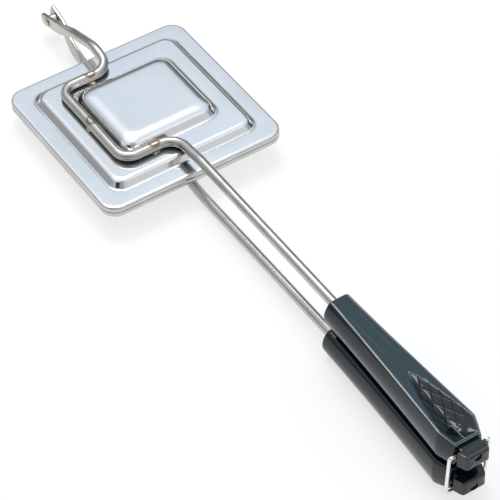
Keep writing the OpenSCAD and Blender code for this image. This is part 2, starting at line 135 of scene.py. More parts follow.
# %% A socket that can be added and multiplied
class Signal:
    """One output of a node. Sums on numbers add Math nodes, on vectors Vector Math nodes."""

    def __init__(self, socket):
        self.socket = socket
        self.is_vector = socket.type in ("VECTOR", "RGBA")

    def node(self, kind, settings=(), sockets=(), out=0):
        """Any node: its settings first, then values or links of its sockets."""
        tree = self.socket.id_data
        made = tree.nodes.new(kind)
        for name, value in dict(settings).items():
            if name == "stops":
                ramp = made.color_ramp
                while len(ramp.elements) < len(value):
                    ramp.elements.new(0.5)
                for element, (place, colour) in zip(ramp.elements, value):
                    element.position = place
                    element.color = (*colour, 1) if len(colour) == 3 else colour
            else:
                setattr(made, name, value)
        for name, value in dict(sockets).items():
            if isinstance(value, Signal):
                tree.links.new(value.socket, made.inputs[name])
            else:
                made.inputs[name].default_value = value
        return Signal(made.outputs[out])

    def maths(self, operation, *others, turned=False):
        """One Math or Vector Math node on this signal and the others."""
        terms = [*others, self] if turned else [self, *others]
        vector = any(isinstance(t, tuple) or getattr(t, "is_vector", False) for t in terms)
        if vector:
            terms = [(t, t, t) if isinstance(t, (int, float)) else t for t in terms]
        kind = "ShaderNodeVectorMath" if vector else "ShaderNodeMath"
        out = "Value" if operation in ("LENGTH", "DOT_PRODUCT") else 0
        return self.node(kind, {"operation": operation}, dict(enumerate(terms)), out)

    def __add__(self, other): return self.maths("ADD", other)
    def __radd__(self, other): return self.maths("ADD", other, turned=True)
    def __sub__(self, other): return self.maths("SUBTRACT", other)
    def __rsub__(self, other): return self.maths("SUBTRACT", other, turned=True)
    def __mul__(self, other): return self.maths("MULTIPLY", other)
    def __rmul__(self, other): return self.maths("MULTIPLY", other, turned=True)

    def part(self, axis):
        """X, Y or Z of a vector."""
        return self.node("ShaderNodeSeparateXYZ", {}, {0: self}, out=axis)

    def step(self, low, high, start=0.0, end=1.0):
        """Smooth step from start to end while the signal goes from low to high."""
        return self.node("ShaderNodeMapRange", {"interpolation_type": "SMOOTHSTEP"},
                         {"Value": self, "From Min": low, "From Max": high,
                          "To Min": start, "To Max": end})

    def noise(self, scale, detail=2.0, rough=0.5, stretch=(1, 1, 1)):
        """Cloudy noise, scale in spots to the metre, drawn out by stretch."""
        return self.node("ShaderNodeTexNoise", {},
                         {"Vector": self * tuple(float(v) for v in stretch), "Scale": scale,
                          "Detail": detail, "Roughness": rough})

    def most(self, other):
        """The larger of two signals."""
        return self.maths("MAXIMUM", other)

    def mark(self, name):
        """A number that the mesh keeps at its points."""
        return self.node("ShaderNodeAttribute", {"attribute_name": name}, out="Fac")

    def blend(self, first, second):
        """Colour between first and second as this signal goes from 0 to 1."""
        first, second = [(*c, 1) if isinstance(c, tuple) else c for c in (first, second)]
        return self.node("ShaderNodeMix", {"data_type": "RGBA"},
                         {0: self, 6: first, 7: second}, out=2)

    def bump(self, height, under=None):
        """Surface dents: this signal times a height in metres, on top of another bump."""
        sockets = {"Height": self, "Distance": height, "Strength": 1.0}
        if under is not None:
            sockets["Normal"] = under
        return self.node("ShaderNodeBump", {}, sockets)


# %% [markdown]
# ## Starting a finish
# Every finish begins with Blender's Principled shader, which does for metal and plastic alike.
# What is the same all over goes straight on a socket, what varies comes in as a signal. Tint,
# dirt and wear are layers: a mask each, and the colour that it lays over the rest.

# %% Helpers for finishes
def new_finish(name):
    """A material, its shader and the place of each point on the object."""
    made = bpy.data.materials.new(name)
    made.use_nodes = True
    shader = made.node_tree.nodes["Principled BSDF"]
    place = Signal(made.node_tree.nodes.new("ShaderNodeTexCoord").outputs["Object"])
    return made, shader, place


def feed(shader, **sockets):
    """Values or signals into the shader's sockets; an underscore stands for a space."""
    for name, value in sockets.items():
        socket = shader.inputs[name.replace("_", " ")]
        if isinstance(value, Signal):
            shader.id_data.links.new(value.socket, socket)
        else:
            socket.default_value = (*value, 1) if isinstance(value, tuple) else value


def covered(colour, *layers):
    """A colour under layers of (mask, colour), laid on in turn."""
    for mask, layer in layers:
        colour = mask.blend(colour, layer)
    return colour


def from_joint(place):
    """Distance in metres above or below the plates' joint."""
    return (place.part("Z") - JOINT_Z * MM).maths("ABSOLUTE")


def tell(*finishes):
    """Print each finish's name and number of nodes."""
    for finish in finishes:
        print(f"finish {finish.name}: {len(finish.node_tree.nodes)} nodes")


# %% [markdown]
# ## Finish: bright pressed sheet
# The plates are bright stainless sheet, a cold blue-white. Rolling leaves a fine grain, and
# pressing leaves the flats a little wavy, which bends the reflections. Handling leaves cloudy
# marks that are rougher. These are noise of different sizes. The foot of each step gets a
# painted dark line of shade. The turned rim is rougher as real wear and painted darker as
# painted shade. Both follow the shape, so the mesh carries them as the marks for the crease and the
# rim.

# %% Plate steel
def plate_finish():
    """Steel between two tones by a cloud, under haze, a painted crease shade and a rim darkened by
    painted shade; all but haze roughen it.
    """
    made, shader, place = new_finish("bright_pressed_sheet")
    cloud = place.noise(28.0, 4.0, 0.6)
    haze = place.noise(9.0, 2.0, 0.5).step(0.42, 0.66)
    grain = place.noise(900.0, 3.0, 0.7, (1.0, 0.18, 1.0))
    wave = place.noise(16.0, 1.0, 0.4)
    scuff = place.noise(140.0, 5.0, 0.75, (0.35, 1.0, 1.0)).step(0.56, 0.74)
    # Painted shade: a dark line at the foot of each step, and a darker rim whose extra roughness is
    # real wear.
    crease = place.mark("crease") * place.noise(40.0, 3.0, 0.6).step(0.30, 0.62, 0.25, 0.85)
    rim = place.mark("rim") * place.noise(60.0, 3.0, 0.6).step(0.3, 0.6, 0.7, 1.0)
    steel = cloud.step(0.3, 0.7).blend((0.78, 0.80, 0.82), (0.84, 0.85, 0.865))
    colour = covered(steel, (haze * 0.5, (0.70, 0.70, 0.69)), (crease, (0.16, 0.155, 0.15)),
                     (rim * 0.9, (0.50, 0.495, 0.47)))
    rough = 0.07 + cloud * 0.06 + grain * 0.05 + scuff * 0.05 + crease * 0.15 + rim * 0.12
    feed(shader, Base_Color=colour, Metallic=1.0, Roughness=rough,
         Normal=grain.bump(0.0000035, wave.bump(0.00022)))
    return made


plate_steel = plate_finish()
tell(plate_steel)

# %% [markdown]
# ## Finish: drawn rod
# Rod is pulled through a die, which leaves long fine streaks. The mesh carries the length along
# the rod, and noise drawn out along it follows every bend. At the three welds the steel was
# heated: a brown tint lies round a paler patch where the electrode pressed. Close to the plate
# the loop's underside is painted nearly black, as painted shade under the rod.

# %% Rod steel
WELDS = [(35.0, -14.0), (-2.0, -34.3), (-37.5, -14.0)]
SPOT = [(1.9, 2.7), (2.7, 1.9), (1.9, 2.7)]  # half sizes of the electrode marks, x and y


def weld_marks(place):
    """Ring of tint and pale patch as two masks, stepped from the distance to the nearest weld,
    which is counted in sizes of its mark and made ragged by noise."""
    ring, patch = None, None
    for (x, y), (half_x, half_y) in zip(WELDS, SPOT):
        off = (place - (x * MM, y * MM, 0.0)) * (1 / (half_x * MM), 1 / (half_y * MM), 0.0)
        ragged = off.maths("LENGTH") + place.noise(700.0, 3.0) * 0.5 - 0.25
        this_ring = ragged.step(1.7, 1.15) * ragged.step(0.5, 0.8)
        this_patch = ragged.step(0.8, 0.5)
        ring = this_ring if ring is None else ring.most(this_ring)
        patch = this_patch if patch is None else patch.most(this_patch)
    outside = from_joint(place).step(0.0118, 0.0130)
    return ring * outside, patch * outside


def rod_finish():
    """Cloudy steel under weld marks and painted shade on the underside, with streaks as fine dents.
    """
    made, shader, place = new_finish("satin_drawn_rod")
    drawn = place.node("ShaderNodeCombineXYZ", {}, {
        "X": place.mark("along_piece") * 6.0, "Y": place.part("Z") * 1400.0,
        "Z": place.part("Y") * 1400.0})
    streak = drawn.noise(1.0, 3.0, 0.6)
    cloud = place.noise(60.0, 3.0, 0.6)
    ring, patch = weld_marks(place)
    # Painted shade: the loop's underside near the plate is darkened nearly to black.
    painted_underside_shade = from_joint(place).step(0.0112, 0.0092) * place.part("X").step(-0.047, -0.043)
    steel = cloud.step(0.3, 0.7).blend((0.45, 0.438, 0.405), (0.54, 0.527, 0.495))
    colour = covered(steel, (ring * 0.9, (0.22, 0.15, 0.11)), (patch * 0.75, (0.50, 0.42, 0.37)),
                     (painted_underside_shade * 0.93, (0.05, 0.048, 0.045)))
    feed(shader, Base_Color=colour, Metallic=1.0, Normal=streak.bump(0.000005),
         Roughness=0.22 + streak * 0.10 + cloud * 0.05 + ring * 0.10)
    return made


rod_steel = rod_finish()
tell(rod_steel)

# %% [markdown]
# ## Finishes: weld, rivet, screw and wire
# The welds are dull and straw brown, the rivet is plated with a warm tone, the screws are dark,
# and the bail is bright drawn wire. They differ only in colour, shine and size of grain, so one
# function makes all four.

# %% Small metals
def small_metal(name, dark, light, rough, spots, dents):
    """Metal between two colours by a cloud of spots, with pits six times finer."""
    made, shader, place = new_finish(name)
    cloud = place.noise(spots, 4.0, 0.65)
    pits = place.noise(spots * 6.0, 3.0, 0.7)
    feed(shader, Base_Color=cloud.step(0.32, 0.68).blend(dark, light), Metallic=1.0,
         Roughness=rough + cloud * 0.12 + pits * 0.06, Normal=pits.bump(dents))
    return made


weld_steel = small_metal("heat_tinted_weld", (0.34, 0.25, 0.19), (0.62, 0.56, 0.50),
                         0.30, 420.0, 0.00006)
rivet_steel = small_metal("warm_plated_rivet", (0.55, 0.46, 0.37), (0.74, 0.67, 0.58),
                          0.20, 300.0, 0.00002)
screw_steel = small_metal("dark_screw", (0.24, 0.19, 0.15), (0.40, 0.33, 0.27),
                          0.42, 500.0, 0.00003)
wire_steel = small_metal("bright_wire", (0.86, 0.81, 0.75), (0.95, 0.92, 0.87),
                         0.26, 260.0, 0.00001)
tell(weld_steel, rivet_steel, screw_steel, wire_steel)

# %% [markdown]
# ## Finish: black moulding
# The handles are moulded in black thermoset plastic, nearly black and slightly blue, with the
# shine of a polished tool that waves finer than one can feel blur a little. The flat top is
# painted a lighter blue as a sheen, and the edges are painted pale, as wear and as a highlight in
# one; the mesh carries both as marks at its points. Two faint lines show where a label may sit.
# The place between them is left bare.

# %% Handle plastic
LABEL_X, LABEL_Y, LABEL_HALF = 230.0, 3.1, 15.5  # middle, half width and half length


def label_lines(place):
    """1 where the distance from the middle is the label's half width, on the flat top only."""
    off_side = (place.part("Y").maths("ABSOLUTE") - LABEL_Y * MM).maths("ABSOLUTE")
    off_end = (place.part("X") - LABEL_X * MM).maths("ABSOLUTE") - LABEL_HALF * MM
    on_line = off_side.step(0.00034, 0.00012) * off_end.step(0.0001, -0.0006)
    return on_line * from_joint(place).step(0.0195, 0.0202)


def handle_finish():
    """Cloudy black under the top's painted sheen, the label's lines and edges painted pale as wear
    and highlight.
    """
    made, shader, place = new_finish("black_moulding")
    cloud = place.noise(45.0, 4.0, 0.6)
    shade = cloud.step(0.3, 0.7)
    orange_peel = place.noise(650.0, 2.0, 0.5)
    speck = place.noise(2600.0, 2.0, 0.6)
    black = shade.blend((0.003, 0.009, 0.012), (0.004, 0.012, 0.016))
    # Painted sheen: the flat top gets a lighter, bluer copy of the black.
    sheen_painted = shade.blend((0.009, 0.028, 0.038), (0.012, 0.034, 0.046))
    label = label_lines(place) * cloud.step(0.25, 0.6, 0.4, 1.0)
    # Pale edges: wear and a painted highlight in one mark.
    worn_and_highlit = place.mark("edge_wear") * place.noise(60.0, 2.0, 0.5).step(0.3, 0.6, 0.6, 1.0)
    colour = covered(black, (place.mark("handled_top"), sheen_painted),
                     (label * 0.55, (0.075, 0.09, 0.10)), (worn_and_highlit * 0.6, (0.36, 0.39, 0.41)))
    feed(shader, Base_Color=colour, Roughness=0.045 + cloud * 0.05 + speck * 0.03, IOR=1.48,
         Normal=speck.bump(0.0000005, orange_peel.bump(0.0000025)))
    return made


handle_plastic = handle_finish()
tell(handle_plastic)

# %% [markdown]
# ## The plates
# Each plate is one sheet, pressed in two steps: a flange, a terrace and a raised centre, with
# the rim turned down and every fold rounded. The shape is a rounded rectangle that shrinks and
# climbs: each row of the grid has its own half sizes, corner radius and height. The same rows a
# sheet's thickness lower, walked back, make the inner skin.

# %% Measures of the plates
PLATE_HALF, PLATE_CORNER = 60.0, 10.0
SHEET, RIM_H, RIM_R, LIP = 1.0, 3.6, 1.6, 0.1
FLANGE_TOP, TERRACE_TOP, PLATEAU_TOP = 3.7, 8.3, 15.0
TERRACE_FOOT = (49.5, 49.5, 9.0, 0.0)  # half x, half y, corner radius, shift in y
PLATEAU_FOOT = (31.5, 33.0, 9.0, 2.0)
TERRACE_WALL = (TERRACE_TOP - FLANGE_TOP, radians(56), 3.6, 1.1)  # rise, slope, top fold, ease
PLATEAU_WALL = (PLATEAU_TOP - TERRACE_TOP, radians(61), 10.5, 1.8)
TERRACE_KEEP, PLATEAU_KEEP = 0.55, 0.36  # share of the run by which corners tighten
CROWN_FLANGE, CROWN_TERRACE = 0.03, 0.04  # how far the pressed flats bulge
FOOT_R, FOOT_STEPS, FOLD_STEPS = 1.4, 8, 25  # radius of a step's foot, and rows of its folds
print(f"plate {2 * PLATE_HALF} mm square, {PLATEAU_TOP} mm high, of {SHEET} mm sheet")


# %% Rows of the pressed sheet
def arc(centre, radius, start, end, steps):
    """Points round a centre, from one angle to another."""
    angle = np.linspace(start, end, steps)
    return np.stack([centre[0] + radius * np.cos(angle), centre[1] + radius * np.sin(angle)], -1)


def wall(rise, slope, fold, ease, deep):
    """Section of a step from its foot up and in, walked in short steps: the slant grows over
    a small arc at the foot, stays at the slope, and dies away over the top fold as
    slope * v^ease. The inner skin lies deep below it, square to the slant."""
    v = np.linspace(1, 0, FOLD_STEPS + 1)[1:]
    slant_fold = slope * (v + 0.5 / FOLD_STEPS) ** ease
    step_fold = np.full(FOLD_STEPS, fold / FOLD_STEPS)
    slant_foot = slope * (np.arange(FOOT_STEPS) + 0.5) / FOOT_STEPS
    step_foot = np.full(FOOT_STEPS, FOOT_R * slope / FOOT_STEPS)
    climbed = (step_fold * np.sin(slant_fold)).sum() + (step_foot * np.sin(slant_foot)).sum()
    straight = (rise - climbed) / sin(slope)
    slant = np.concatenate([slant_foot, [slope], slant_fold])
    step = np.concatenate([step_foot, [straight], step_fold])
    x = np.concatenate([[0], -np.cumsum(step * np.cos(slant))])
    z = np.concatenate([[0], np.cumsum(step * np.sin(slant))])
    at_point = np.concatenate([slope * np.arange(FOOT_STEPS + 1) / FOOT_STEPS,
                               slope * np.concatenate([[1], v]) ** ease])
    return np.stack([x - deep * np.sin(at_point), z - deep * np.cos(at_point)], -1)


def rows_of(foot, section, height, keep=1.0):
    """Rows (half x, half y, corner, shift, z) of a section carried round a rounded rectangle."""
    half_x, half_y, corner, shift = foot
    x, z = section.T
    return np.stack([half_x + x, half_y + x, corner + np.minimum(x, 0) * keep + np.maximum(x, 0),
                     np.full_like(x, shift), height + z], -1)


def between(start, end, steps, crown):
    """Rows on the flat between two rows, ends left out, bulged by 4 crown t (1 - t)."""
    share = np.linspace(0, 1, steps + 1)[1:-1, None]
    rows = start + (end - start) * share
    rows[:, 4] += crown * 4 * (share * (1 - share))[:, 0]
    return rows


def plate_rows(deep):
    """Rows from the rim to the middle of the plate, on the outer (0) or inner (1) skin."""
    rim = arc((-RIM_R, LIP + RIM_H - RIM_R), RIM_R - deep, 0, pi / 2, 8)
    lip = np.array([[-deep, LIP + 0.25]])
    outline = (PLATE_HALF, PLATE_HALF, PLATE_CORNER, 0.0)
    edge = rows_of(outline, np.concatenate([lip, rim]), 0.0)
    terrace = rows_of(TERRACE_FOOT, wall(*TERRACE_WALL, deep), FLANGE_TOP, TERRACE_KEEP)
    plateau = rows_of(PLATEAU_FOOT, wall(*PLATEAU_WALL, deep), TERRACE_TOP, PLATEAU_KEEP)
    shrink = np.array([0.92, 0.8, 0.6, 0.4, 0.2, 0.06])[:, None]
    same = np.ones_like(shrink)
    centre = plateau[-1] * np.concatenate([shrink, shrink, shrink, same, same], 1)
    return np.concatenate([edge, between(edge[-1], terrace[0], 10, CROWN_FLANGE), terrace,
                           between(terrace[-1], plateau[0], 10, CROWN_TERRACE), plateau, centre])


# %% [markdown]
# ## Round the corners, and the marks
# Every row becomes a loop of four quarter circles and four sides, divided alike in all rows, so
# that no face is twisted. The two skins meet at the lip. The marks come from the same rows, so
# the painted shade line follows a step's foot and the darker, rougher band the rim.

# %% Carrying the rows round the corners
def round_loops(rows, turns=14, along=12):
    """Rounded rectangles: four quarter circles of points joined by evenly divided sides."""
    half_x, half_y, corner, shift, height = [c[:, None] for c in rows.T]
    angle = np.linspace(0, pi / 2, turns + 1)
    loop_x, loop_y = [], []
    for quarter, (sx, sy) in enumerate([(1, 1), (-1, 1), (-1, -1), (1, -1)]):
        loop_x.append(sx * (half_x - corner) + corner * np.cos(angle + quarter * pi / 2))
        loop_y.append(sy * (half_y - corner) + corner * np.sin(angle + quarter * pi / 2))
    share = np.linspace(0, 1, along + 1)[1:-1]
    x, y = [], []
    for quarter in range(4):
        following = (quarter + 1) % 4
        for loop, out in ((loop_x, x), (loop_y, y)):
            here, there = loop[quarter][:, -1:], loop[following][:, :1]
            out += [loop[quarter], here + (there - here) * share]
    x, y = np.concatenate(x, 1), np.concatenate(y, 1) + shift
    return np.stack([x, y, np.broadcast_to(height, x.shape)], -1)


# The dark line at a step's foot is painted shade.
CREASE_W = 0.75  # width of the dark line at a step's foot
RIM_FROM, RIM_OVER = 0.5, 0.35  # the rim's mark starts this far inside, and grows over this
LIP_DRAWN = 0.18  # share by which the lip's two edges are drawn together


def plate_skin():
    """Outer skin, lip and inner skin as one grid, with two marks for painted shade. The crease's
    mark falls from 1 at a step's foot to 0 at CREASE_W from it, in height and width added, and the
    rim's mark, painted shade with real roughening, is 1 on the turned-down edge."""
    outer, inner = round_loops(plate_rows(0.0)), round_loops(plate_rows(SHEET))
    step = (inner[:1] - outer[:1]) * LIP_DRAWN
    lip_out, lip_in = outer[:1] + step, inner[:1] - step
    lip_out[..., 2] = lip_in[..., 2] = LIP
    rings = np.concatenate([outer[::-1], lip_out, lip_in, inner])
    reach, high = rings[..., 0].max(1), rings[..., 2].max(1)
    from_foot = np.min([np.abs(high - foot) + np.abs(reach - outline[0]) for foot, outline in
                        ((FLANGE_TOP, TERRACE_FOOT), (TERRACE_TOP, PLATEAU_FOOT))], 0)
    marks = {"crease": np.clip(1 - from_foot / CREASE_W, 0, 1),
             "rim": np.clip((reach - PLATE_HALF + RIM_FROM) / RIM_OVER, 0, 1)}
    return [skin(rings)], {name: np.concatenate([np.repeat(v, rings.shape[1]), v[[0, -1]]])
                           for name, v in marks.items()}


shells, marks = plate_skin()
for name, half, body in HALVES:
    piece(f"{name}_pressed_plate", shells, half, body, f"{name}_plate", plate_steel,
          marks=marks)

# %% [markdown]
# ## The arms
# Each arm is one rod of 6 mm steel. From the handle it runs straight to the plate, bends round
# the raised centre in a loop that is welded on, climbs behind the plates and ends flattened for
# the rivet. A centre line of straight legs and arcs comes first, and a ring is carried along
# it, which is squeezed from a circle to a flat bar near the rivet.

# %% A centre line with bends
def centre_line(corners, radii, spacing=0.9):
    """Points and directions along legs and arcs: an arc cuts r tan(turn / 2) off each leg."""
    corners = np.asarray(corners, float)
    legs = np.diff(corners, axis=0)
    legs /= np.linalg.norm(legs, axis=1)[:, None]
    points, ways = [corners[:1]], [legs[:1]]
    for k in range(1, len(corners) - 1):
        into, out = legs[k - 1], legs[k]
        turn = np.arccos(np.clip(into @ out, -1, 1))
        inward = out - into * (into @ out)
        inward /= np.linalg.norm(inward)
        start = corners[k] - into * radii[k] * tan(turn / 2)
        angle = np.linspace(0, turn, max(8, int(radii[k] * turn / spacing)))[:, None]
        points.append(start + radii[k] * (np.sin(angle) * into + (1 - np.cos(angle)) * inward))
        ways.append(np.cos(angle) * into + np.sin(angle) * inward)
    points.append(corners[-1:])
    ways.append(legs[-1:])
    return np.concatenate(points), np.concatenate(ways)


def carried(points, ways, upright, half_side, half_up, square=1.0, columns=40):
    """Ring at each point: side = half_side |cos|^square, up = half_up |sin|^square."""
    side = np.cross(upright, ways)
    side /= np.linalg.norm(side, axis=1)[:, None]
    up = np.cross(ways, side)
    angle = np.arange(columns) * 2 * pi / columns
    square = np.broadcast_to(square, len(points))[:, None]
    across = np.sign(np.cos(angle)) * np.abs(np.cos(angle)) ** square
    high = np.sign(np.sin(angle)) * np.abs(np.sin(angle)) ** square
    half_side = np.broadcast_to(half_side, len(points))[:, None]
    half_up = np.broadcast_to(half_up, len(points))[:, None]
    return (points[:, None] + (half_side * across)[..., None] * side[:, None]
            + (half_up * high)[..., None] * up[:, None])


def lengths_along(points, columns):
    """Length walked to each ring, in metres, for every point of a skin."""
    steps = np.linalg.norm(np.diff(points, axis=0), axis=1)
    walked = np.concatenate([[0], np.cumsum(steps)]) * MM
    return np.concatenate([np.repeat(walked, columns), walked[[0, -1]]])


# %% [markdown]
# ## The route, and the flattened ends
# Behind the plates each rod is hammered flat, so that the two fit side by side on the rivet.
# Each stands to its own side there and comes back to the middle before the plate. The two
# aren't twins: the upper end is less high and turns round again sooner, as in the photograph.

# %% The arm's route and its flattened end
ROD_R, ROD_FRONT_H, ROD_TAIL_H, ROD_PEAK_H = 3.0, 14.05, 12.85, 14.6
LOOP_H, FRONT_X, LOOP_FRONT_X, LOOP_BACK_X, LOOP_Y = 11.4, 62.0, 35.0, -37.5, -34.3
HINGE_X, PEAK_X = -107.4, -56.5
ROD_END, LOWER_BACK = 250.5, 1.8  # rod's length past FRONT_X, and how much shorter the lower is
SET_BACK = {UPPER: 0.0, LOWER: LOWER_BACK}
ROD_BENDS = [0, 20, 11, 8.5, 8.5, 11, 40, 0]  # radius at each corner of the route
ROD_SLOPE = atan2(ROD_FRONT_H - ROD_TAIL_H, ROD_END)
BLADE_SLOPE = atan2(ROD_PEAK_H, PEAK_X - HINGE_X)
BLADE_Y = {UPPER: -3.15, LOWER: 3.15}  # the side that each end stands to
BLADE_T, BLADE_TAIL, BLADE_CORNER, BLADE_SQUARE = 2.5, 6.5, 1.5, 0.34
# Distances from the rivet: where an end begins to turn round and where it is round, its
# height, and where it begins to come back to the middle and where it is there
BLADES = {UPPER: (12.0, 30.0, 7.8, 12.0, 30.0), LOWER: (29.0, 41.0, 10.0, 5.0, 27.0)}


def smooth(t):
    """Smooth step from 0 to 1 while t goes from 0 to 1."""
    t = np.clip(t, 0, 1)
    return t * t * (3 - 2 * t)


def flattened(half):
    """Points, half widths and squareness from the end to the round rod. Each eases from the
    flat bar's to the rod's, and the end's height follows a quarter circle."""
    start, stop, high, joggle, joggled = BLADES[half]
    end = -BLADE_TAIL + BLADE_CORNER * (1 - np.cos(np.linspace(0, pi / 2, 8)))
    s = np.concatenate([end, np.linspace(-BLADE_TAIL + BLADE_CORNER, start, 32)[1:],
                        np.linspace(start, stop, 22)[1:-1]])
    ease = smooth((s - start) / (stop - start))
    aside = BLADE_Y[half] * (1 - smooth((s - joggle) / (joggled - joggle)))
    half_side = BLADE_T / 2 + (ROD_R - BLADE_T / 2) * ease
    half_up = high / 2 + (ROD_R - high / 2) * ease
    past = np.clip(BLADE_CORNER - (s + BLADE_TAIL), 0, None)
    half_up -= BLADE_CORNER - np.sqrt(np.clip(BLADE_CORNER ** 2 - past ** 2, 0, None))
    points = np.stack([HINGE_X + s * cos(BLADE_SLOPE), aside, s * sin(BLADE_SLOPE)], -1)
    return points, half_side, half_up, BLADE_SQUARE + (1 - BLADE_SQUARE) * ease


def arm(half, columns=40):
    """Skin of one arm, and the length along it at each point."""
    tail, stop = ROD_END - SET_BACK[half], BLADES[half][1]
    corners = [(HINGE_X + stop * cos(BLADE_SLOPE), 0, stop * sin(BLADE_SLOPE)),
               (PEAK_X, 0, ROD_PEAK_H), (LOOP_BACK_X, 0, LOOP_H), (LOOP_BACK_X, LOOP_Y, LOOP_H),
               (LOOP_FRONT_X, LOOP_Y, LOOP_H), (LOOP_FRONT_X, 0, LOOP_H),
               (FRONT_X, 0, ROD_FRONT_H),
               (FRONT_X + tail * cos(ROD_SLOPE), 0, ROD_FRONT_H - tail * sin(ROD_SLOPE))]
    rod, ways = centre_line(corners, ROD_BENDS)
    blade, half_side, half_up, square = flattened(half)
    round_part = np.full(len(rod), ROD_R)
    points = np.concatenate([blade, rod])
    ways = np.concatenate([np.repeat(ways[:1], len(blade), 0), ways])
    rings = carried(points, ways, (0, 0, 1), np.concatenate([half_side, round_part]),
                    np.concatenate([half_up, round_part]),
                    np.concatenate([square, np.ones(len(rod))]), columns)
    return [skin(rings)], lengths_along(points, columns)


for name, half, body in HALVES:
    shells, lengths = arm(half)
    piece(f"{name}_bent_rod", shells, half, body, f"{name}_arm", rod_steel,
          marks={"along_piece": lengths})

# %% [markdown]
# ## The welds
# The loop is spot welded to the terrace in three places, and the metal that was squeezed out
# sets as a low ragged bead. A flat disc of rings is lifted by a rounded profile, and a few
# waves round the edge make it uneven.

# %% Weld beads
def bead(x, y, radius=3.5, height=1.25, rings=10, columns=36):
    """Low dome: height falls as (1 - r^2)^0.6, and waves of 3, 7 and 5 round it shift the rim
    and the height a little. Its base is sunk into the terrace."""
    share = np.linspace(1.0, 0.04, rings)[:, None]
    angle = np.arange(columns) * 2 * pi / columns
    wobble = 1 + 0.07 * np.sin(3 * angle + x) + 0.05 * np.sin(7 * angle + y)
    r = radius * share * wobble
    z = height * (1 - share ** 2) ** 0.6 * (1 + 0.12 * np.sin(5 * angle + x))
    top = np.stack([x + r * np.cos(angle), y + r * np.sin(angle), TERRACE_TOP - 0.02 + z], -1)
    base = top[:1].copy()
    base[..., 2] = TERRACE_TOP - 0.3
    return skin(np.concatenate([base, top]))


for name, half, body in HALVES:
    piece(f"{name}_weld_beads", [bead(x, y) for x, y in WELDS], half, body, f"{name}_welds",
          weld_steel)

# %% [markdown]
# ## Rivet and collar
# A soft steel rivet goes through both flattened ends, and a collar keeps them apart. Both are
# turned shapes: an outline of radius against length, spun round the rivet's axis.

# %% Turned pieces
RIVET_R, HEAD_R, HEAD_T, HEAD_RIM = 2.0, 2.95, 1.3, 0.25
COLLAR_HALF, COLLAR_R, COLLAR_BORE, COLLAR_CUT = 1.85, 3.25, 2.05, 0.3
HEAD_Y = COLLAR_HALF + BLADE_T + 0.15  # under the head, just clear of the flat end


def turned(outline, columns=48):
    """Rings round the rivet's axis from rows of (y, radius)."""
    y, radius = np.asarray(outline, float).T
    angle = np.arange(columns) * 2 * pi / columns
    x = HINGE_X + radius[:, None] * np.cos(angle)
    return np.stack([x, np.broadcast_to(y[:, None], x.shape), radius[:, None] * np.sin(angle)], -1)


def dome(side):
    """Hammered head: a short straight rim, then a dome whose radius falls as cos^0.8 and whose
    height grows as sin^1.2, so that it flattens in the middle."""
    angle = np.linspace(0, 1, 12) * pi / 2
    rise = HEAD_RIM + (HEAD_T - HEAD_RIM) * np.sin(angle) ** 1.2
    rows = np.stack([side * (HEAD_Y + rise), HEAD_R * np.cos(angle) ** 0.8], -1)[:-1]
    return np.concatenate([[[side * HEAD_Y, RIVET_R], [side * HEAD_Y, HEAD_R - 0.2],
                            [side * (HEAD_Y + 0.1), HEAD_R - 0.03]], rows])


piece("hinge_rivet_turned", [skin(turned(np.concatenate([dome(-1)[::-1], dome(1)])))], UPPER,
      "lower_half", "hinge_rivet", rivet_steel)

collar_rows = [(-COLLAR_HALF, COLLAR_BORE), (-COLLAR_HALF, COLLAR_R - COLLAR_CUT),
               (COLLAR_CUT - COLLAR_HALF, COLLAR_R), (COLLAR_HALF - COLLAR_CUT, COLLAR_R),
               (COLLAR_HALF, COLLAR_R - COLLAR_CUT), (COLLAR_HALF, COLLAR_BORE)]
collar_rings = turned(collar_rows + collar_rows[:1])
piece("hinge_collar_turned", [(collar_rings.reshape(-1, 3), net(*collar_rings.shape[:2]).tolist())],
      UPPER, "lower_half", "hinge_collar", rivet_steel, crisp=30)

# %% [markdown]
# ## The handles
# Each handle is one moulding on the rod. Seen from above it widens towards the end, its sides
# bulge, and a thumb recess is sunk into the wide part. Behind it lie a groove, in which the
# bail's wire sits, and a knob. The whole skin is one grid of rings from front to end.

# %% Measures of the handle
GRIP_FRONT, GRIP_L = 137.5, 116.0  # stations are millimetres along the rod
GRIP_END = GRIP_FRONT + GRIP_L
WIDEST = GRIP_END - 10.5
TOP_FRONT, TOP_WIDE, TOP_END = 5.5, 11.4, 7.9  # half width of the flat top
TOP_H, TOP_H_END = 8.0, 5.3  # its height above the rod's middle
BULGE_FRONT, BULGE_END = 4.0, 1.2  # how far the sides bulge beyond it
INNER_H, INNER_EXTRA = 10.2, 0.3  # depth of the inner face, its extra half width
RECESS_L, RECESS_RIM, RECESS_WALL = 51.3, 1.2, 1.2
RECESS_FAR = GRIP_END - RECESS_WALL
RECESS_TIP = RECESS_FAR - RECESS_L
GROOVE, NECK_HALF, NECK_TOP = 2.7, 6.6, 3.05
KNOB_L, KNOB_BACK, KNOB_END = 6.5, 9.0, 6.9  # length, and half widths of its two ends
KNOB_TOP, KNOB_INNER, KNOB_CUT = 3.2, 6.8, 1.2  # height, depth, and how far the end rounds
KNOB_START = GRIP_END + GROOVE
KNOB_STOP = KNOB_START + KNOB_L
print(f"handle {KNOB_STOP - GRIP_FRONT:.1f} mm long, its recess {RECESS_L} mm")

# %% Widths and heights along the handle
def drop(s):
    """Share of the way from the widest place to the end, eased at its start."""
    return (np.clip(s - WIDEST, 0, None) / (GRIP_END - WIDEST)) ** 1.2


def top_half(s):
    """Half width of the flat top at station s."""
    grow = np.clip((s - GRIP_FRONT) / (WIDEST - GRIP_FRONT), 0, 1) ** 1.15
    return TOP_FRONT + (TOP_WIDE - TOP_FRONT) * grow + (TOP_END - TOP_WIDE) * drop(s)


def top_at(s):
    """Height of the flat top above the rod."""
    return TOP_H + (TOP_H_END - TOP_H) * drop(s)


